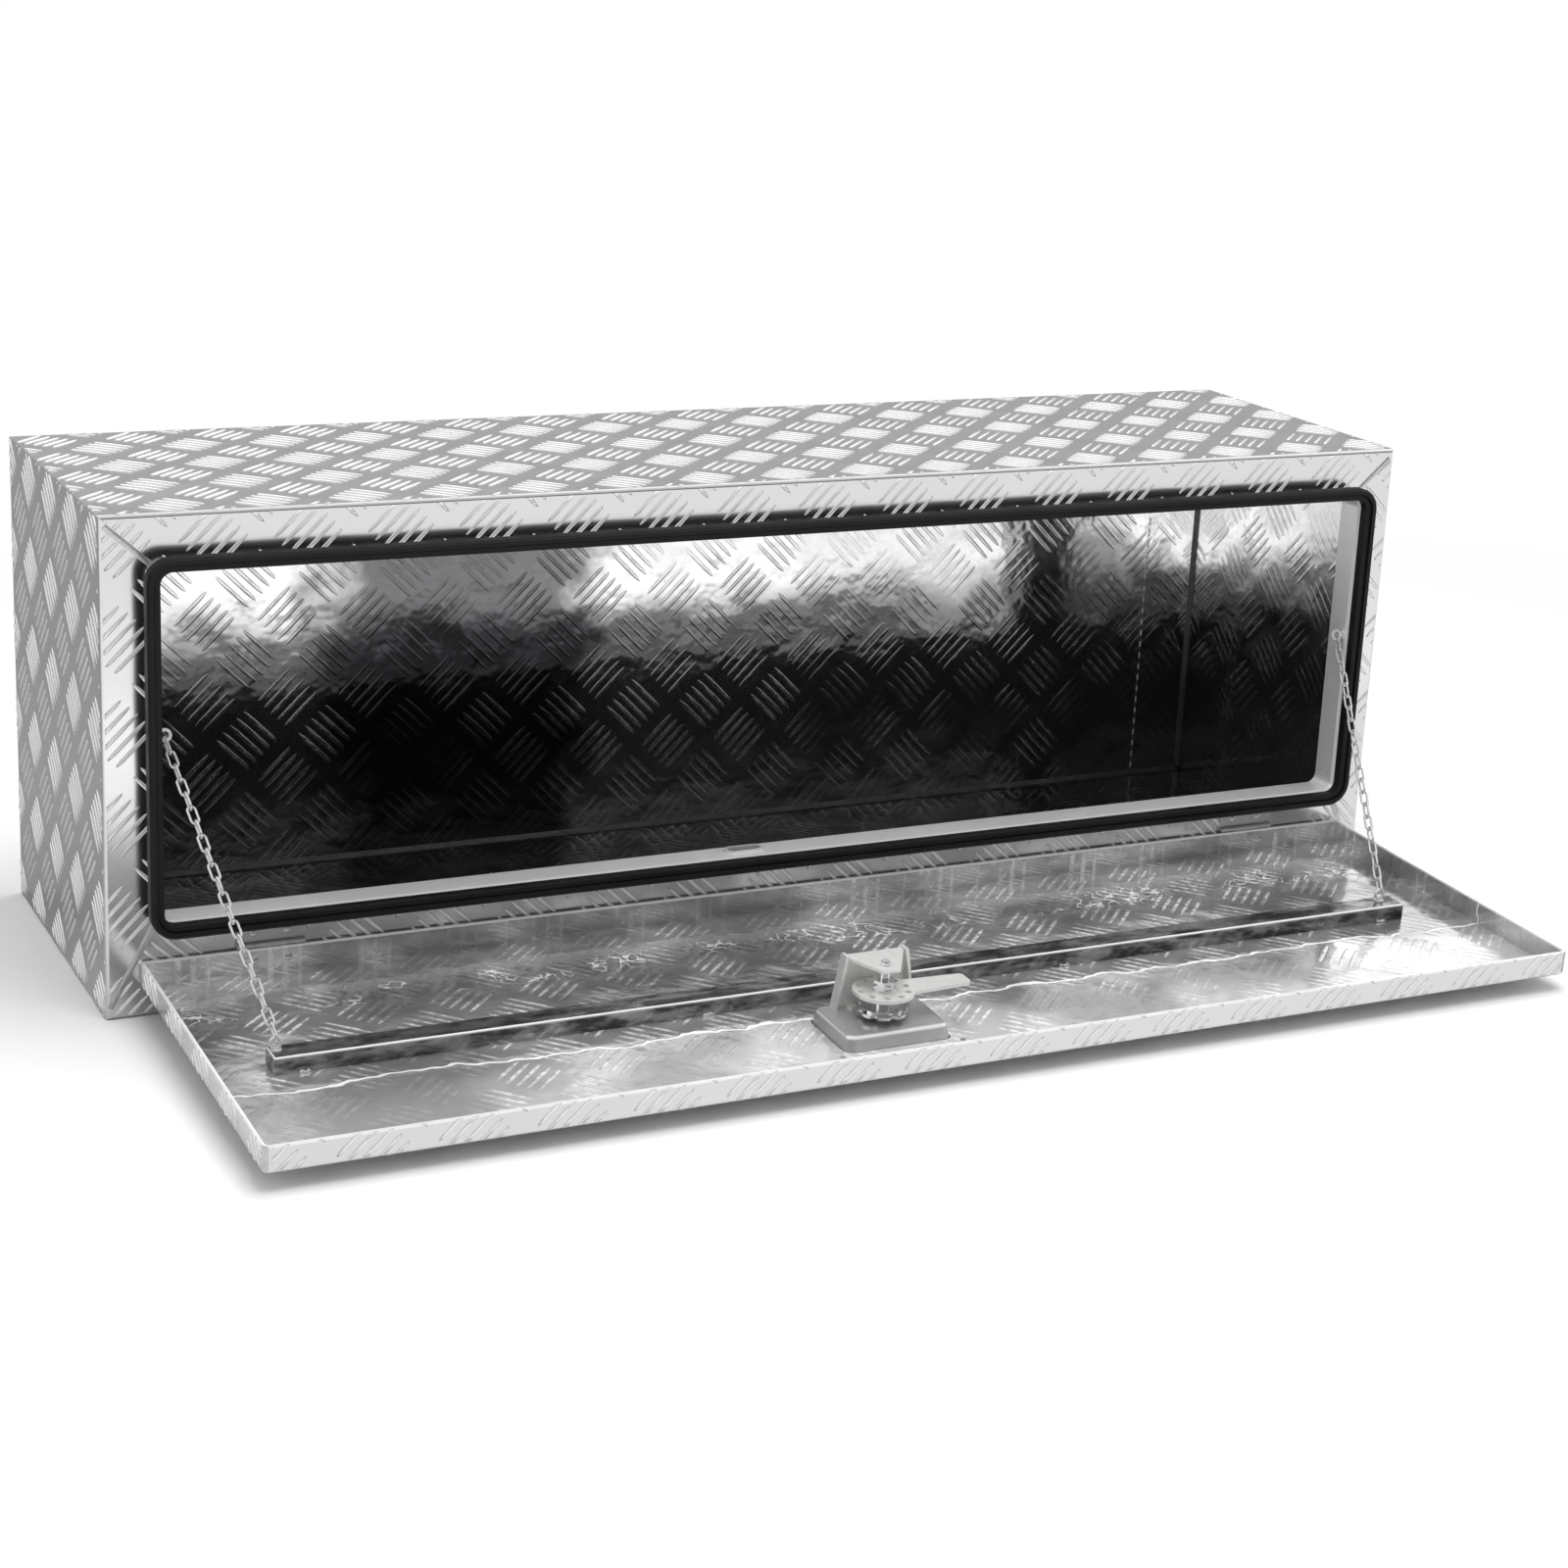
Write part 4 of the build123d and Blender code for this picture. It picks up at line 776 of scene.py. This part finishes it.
def lay_front_bars():
    """The four borders of the front face, cut along the mitres."""
    plane = face_plane((0, FRONT_Y, 0), (1, 0, 0), (0, 0, 1), (0, -1, 0))
    out_x = BOX_HALF_LENGTH - BEND
    in_x = OPENING_HALF + STRIP
    low_z = OPENING_BOTTOM - STRIP
    high_z = OPENING_TOP + STRIP
    corners = {}
    for side in (-1, 1):
        for at_top in (False, True):
            outer_z = BOX_HEIGHT - MITRE_RISE if at_top else MITRE_RISE
            outer = Vector((side * BOX_HALF_LENGTH, outer_z))
            inner = Vector((side * in_x, high_z if at_top else low_z))
            run = (inner - outer).normalized()
            upward = Vector((-run.y, run.x)) if run.x > 0 else Vector((run.y, -run.x))
            corners[side, at_top] = (inner, upward)

    def mitre(side, at_top, keep_above):
        inner, upward = corners[side, at_top]
        if keep_above:
            return inner + upward * MITRE_BEAD, -upward
        return inner - upward * MITRE_BEAD, upward

    tread_bars(
        "front_top_tread_bars", "box", plane, (-out_x, out_x, high_z, BOX_HEIGHT - BEND),
        FRONT_PHASE, [mitre(-1, True, True), mitre(1, True, True)])
    leaves = [(side * HINGE_LEAF[0], HINGE_LEAF[1], *HINGE_LEAF_ROOM) for side in (-1, 1)]
    tread_bars(
        "front_bottom_tread_bars", "box", plane, (-out_x, out_x, BEND, low_z),
        FRONT_PHASE, [mitre(-1, False, False), mitre(1, False, False)], leaves,
        material=LIT_COPY_BARS)
    for side, word in ((-1, "left"), (1, "right")):
        spans = (-out_x, -in_x) if side < 0 else (in_x, out_x)
        tread_bars(
            "front_" + word + "_tread_bars", "box", plane, (*spans, BEND, BOX_HEIGHT - BEND),
            FRONT_PHASE, [mitre(side, True, False), mitre(side, False, True)])


def lay_door_bars():
    droop = droop_matrix()
    edge = DOOR_BEND + RIM_BORDER
    front = DOOR_BACK_Y - DOOR_REACH
    plane = face_plane((0, 0, DOOR_SKIN_Z), (1, 0, 0), (0, 1, 0), (0, 0, -1))
    tread_bars(
        "door_skin_tread_bars", "door", droop @ plane,
        (-DOOR_HALF + edge, DOOR_HALF - edge, front + edge, DOOR_BACK_Y - edge),
        DOOR_PHASE, holes=[(*LATCH, *DISH_ROOM)])
    top = DOOR_RIM_Z - RIM_BORDER
    bottom = DOOR_SKIN_Z + DOOR_BEND
    plane = face_plane((0, front, 0), (1, 0, 0), (0, 0, 1), (0, -1, 0))
    tread_bars(
        "door_front_tread_bars", "door", droop @ plane,
        (-DOOR_HALF + DOOR_CORNER, DOOR_HALF - DOOR_CORNER, bottom, top),
        (DOOR_PHASE[0], RIM_PHASE_Z))
    for side, word in ((-1, "left"), (1, "right")):
        plane = face_plane((side * DOOR_HALF, 0, 0), (0, 1, 0), (0, 0, 1), (side, 0, 0))
        tread_bars(
            "door_" + word + "_tread_bars", "door", droop @ plane,
            (front + DOOR_CORNER, DOOR_BACK_Y - DOOR_CORNER, bottom, top),
            (DOOR_PHASE[1], RIM_PHASE_Z))


# Finishes on the solids


def paint(material, *names):
    for name in names:
        mesh = nodes[name].data
        mesh.materials.clear()
        mesh.materials.append(material)


def paint_nodes():
    wide = sheet_material(
        "tread_sheet_level", "xy", inside_box, FLOOR_PHASE, underside=under_box)
    paint(wide, "top_panel", "bottom_panel")
    paint(
        sheet_material("tread_sheet_ends", "yz", inside_box, END_PHASE),
        "left_end_panel", "right_end_panel")
    paint(
        sheet_material("tread_sheet_back", "xz", inside_box, FRONT_PHASE, extra=back_painted_reflection_and_welds),
        "back_panel")
    door = sheet_material(
        "tread_sheet_door", "xy", inside_door, DOOR_PHASE, door_look, inner_rough=0.08,
        streak_drop=0.55, dullest=0.60, extra=door_painted_highlights, edge=door_rim_painted_highlight, level=True)
    paint(door, "door_panel")
    strips = ["opening_strip_" + word for word in ("top", "bottom", "left", "right")]
    paint(plain_sheet_material("strip_aluminium", 0.93, 0.22, 0.5 * MM, 0.40), *strips)
    paint(channel_material(), "stiffener_channel")
    paint(weld_material("weld_bead_ripple", 0.52), "front_mitre_welds", "door_corner_welds")
    paint(weld_material("weld_bead_dull", 0.12), "inside_corner_welds")
    paint(rubber_material(), "seal_grip", "seal_bulb", "latch_gasket")
    paint(
        cast_material("hinge_steel_satin", (0.62, 0.63, 0.64), 0.28, 160.0, 0.01 * MM),
        "left_hinge_box_leaf", "right_hinge_box_leaf", "left_hinge_door_leaf",
        "right_hinge_door_leaf", "hinge_pins")
    paint(
        cast_material("rivet_aluminium_satin", (0.78, 0.78, 0.79), 0.26, 220.0, 0.01 * MM),
        "hinge_box_rivets", "hinge_door_rivets", "latch_dish_rivets", "latch_bracket_rivets")
    paint(
        cast_material("zinc_plate_pale", (0.88, 0.88, 0.86), 0.42, 140.0, 0.012 * MM, 0.55),
        "latch_bracket", "cam_plate", "box_chain_eyes", "box_chain_nuts", "door_chain_eyes",
        "door_chain_nuts", "drain_slot_rim")
    paint(dish_material(), "latch_dish")
    paint(
        cast_material("chrome_bright", (0.80, 0.80, 0.81), 0.07, 70.0, 0.003 * MM),
        "latch_spindle", "fold_pin", "star_washer", "detent_disc", "cam_spacer", "cam_washer",
        "cam_nut", "spindle_end_nut", "lock_body", "lock_plug", "t_handle_stem", "t_handle_grip")
    paint(
        CHAIN, "left_chain_upper", "left_chain_lower", "right_chain_upper", "right_chain_lower")


# Studio


def place_camera():
    forward = Vector((
        math.sin(CAMERA_YAW) * math.cos(CAMERA_PITCH),
        math.cos(CAMERA_YAW) * math.cos(CAMERA_PITCH), -math.sin(CAMERA_PITCH)))
    right = Vector((math.cos(CAMERA_YAW), -math.sin(CAMERA_YAW), 0.0))
    upward = right.cross(forward)
    rolled_right = right * math.cos(CAMERA_ROLL) + upward * math.sin(CAMERA_ROLL)
    rolled_up = upward * math.cos(CAMERA_ROLL) - right * math.sin(CAMERA_ROLL)
    data = bpy.data.cameras.new("camera")
    data.lens = CAMERA_LENS
    data.sensor_width = CAMERA_SENSOR
    data.shift_x, data.shift_y = CAMERA_SHIFT
    data.clip_end = FAR_CLIP
    camera = bpy.data.objects.new("camera", data)
    camera.matrix_world = face_plane(CAMERA_PLACE, rolled_right, rolled_up, -forward)
    bpy.context.scene.collection.objects.link(camera)
    bpy.context.scene.camera = camera


def lay_floor():
    bm = bmesh.new()
    bmesh.ops.create_grid(bm, x_segments=1, y_segments=1, size=FLOOR_HALF)
    mesh = bpy.data.meshes.new("studio_floor")
    bm.to_mesh(mesh)
    bm.free()
    material, board = new_material("studio_floor_white")
    x, y = board.parts(board.point())[:2]
    # Metal sees the floor grey behind the box and to its left, pale before it, and darker near
    # the door's edge, a painted shadow of the door.
    behind = board.ease(y * 0.9 - x * 0.5, 0.0, 0.6)
    painted_door_shadow = board.ease(y, -0.78, -0.62)
    in_metal = board.blend(painted_door_shadow, grey(0.95), grey(0.66))
    in_metal = board.blend(behind, in_metal, grey(0.30))
    colour = board.blend(board.is_ray("Glossy"), grey(FLOOR_WHITE), in_metal)
    near = board.node("ShaderNodeBsdfDiffuse", values={"Color": colour})
    far_metal = board.blend(behind, grey(0.86), grey(0.32))
    bright = board.blend(board.is_ray("Camera"), far_metal, grey(1.0))
    far = board.node("ShaderNodeEmission", values={"Color": bright})
    distance = (x * x * 0.45 + y * y).power(0.5)
    away = board.ease(distance, 0.75, 1.6)
    shader = board.node("ShaderNodeMixShader", values={0: away, 1: near, 2: far})
    board.out("ShaderNodeOutputMaterial", Surface=shader)
    mesh.materials.append(material)
    floor = bpy.data.objects.new("studio_floor", mesh)
    floor.location = (0.0, 0.0, FLOOR_Z)
    bpy.context.scene.collection.objects.link(floor)


def light_world():
    """White to the camera and even for plain light. Metal sees a dark front, a grey wall
    behind the box and a bright ceiling."""
    world = bpy.data.worlds.new("studio")
    bpy.context.scene.world = world
    world.use_nodes = True
    board = Board(world.node_tree)
    y, z = board.parts(board.node("ShaderNodeTexCoord", output="Generated"))[1:]
    high = board.ease(z, 0.28, 0.50)
    front_to_back = board.ease(y, -0.25 - high * 0.35, 0.45 - high * 0.35)
    wall = board.ease(z, 0.27, 0.42, 0.38, 1.5) - board.ease(z, 0.62, 0.84) * 0.60
    front = board.ease(z, 0.30, 0.52, 0.10, 0.55)
    studio = board.pale(front_to_back * (wall - front) + front)
    studio = board.blend(board.ease(z, -0.02, 0.0), grey(0.85), studio)
    fill = board.blend(board.is_ray("Glossy"), grey(FILL_LIGHT), studio)
    colour = board.blend(board.is_ray("Camera"), fill, grey(1.0))
    shader = board.node("ShaderNodeBackground", values={"Color": colour, "Strength": 1.0})
    board.out("ShaderNodeOutputWorld", Surface=shader)


def hang_softbox():
    """One wide lamp overhead. Polished metal doesn't mirror it."""
    data = bpy.data.lights.new("softbox_overhead", "AREA")
    data.shape = "RECTANGLE"
    data.size, data.size_y = SOFTBOX_SIZE
    data.energy = SOFTBOX_WATTS
    lamp = bpy.data.objects.new("softbox_overhead", data)
    lamp.location = SOFTBOX_PLACE
    aim = SOFTBOX_TARGET - SOFTBOX_PLACE
    lamp.rotation_euler = aim.to_track_quat("-Z", "Y").to_euler()
    lamp.visible_glossy = False
    bpy.context.scene.collection.objects.link(lamp)


bpy.context.scene.view_settings.view_transform = "Standard"
place_camera()
light_world()
lay_floor()
hang_softbox()
paint_nodes()
lay_box_bars()
lay_door_bars()
tack_beads()
middle_links()
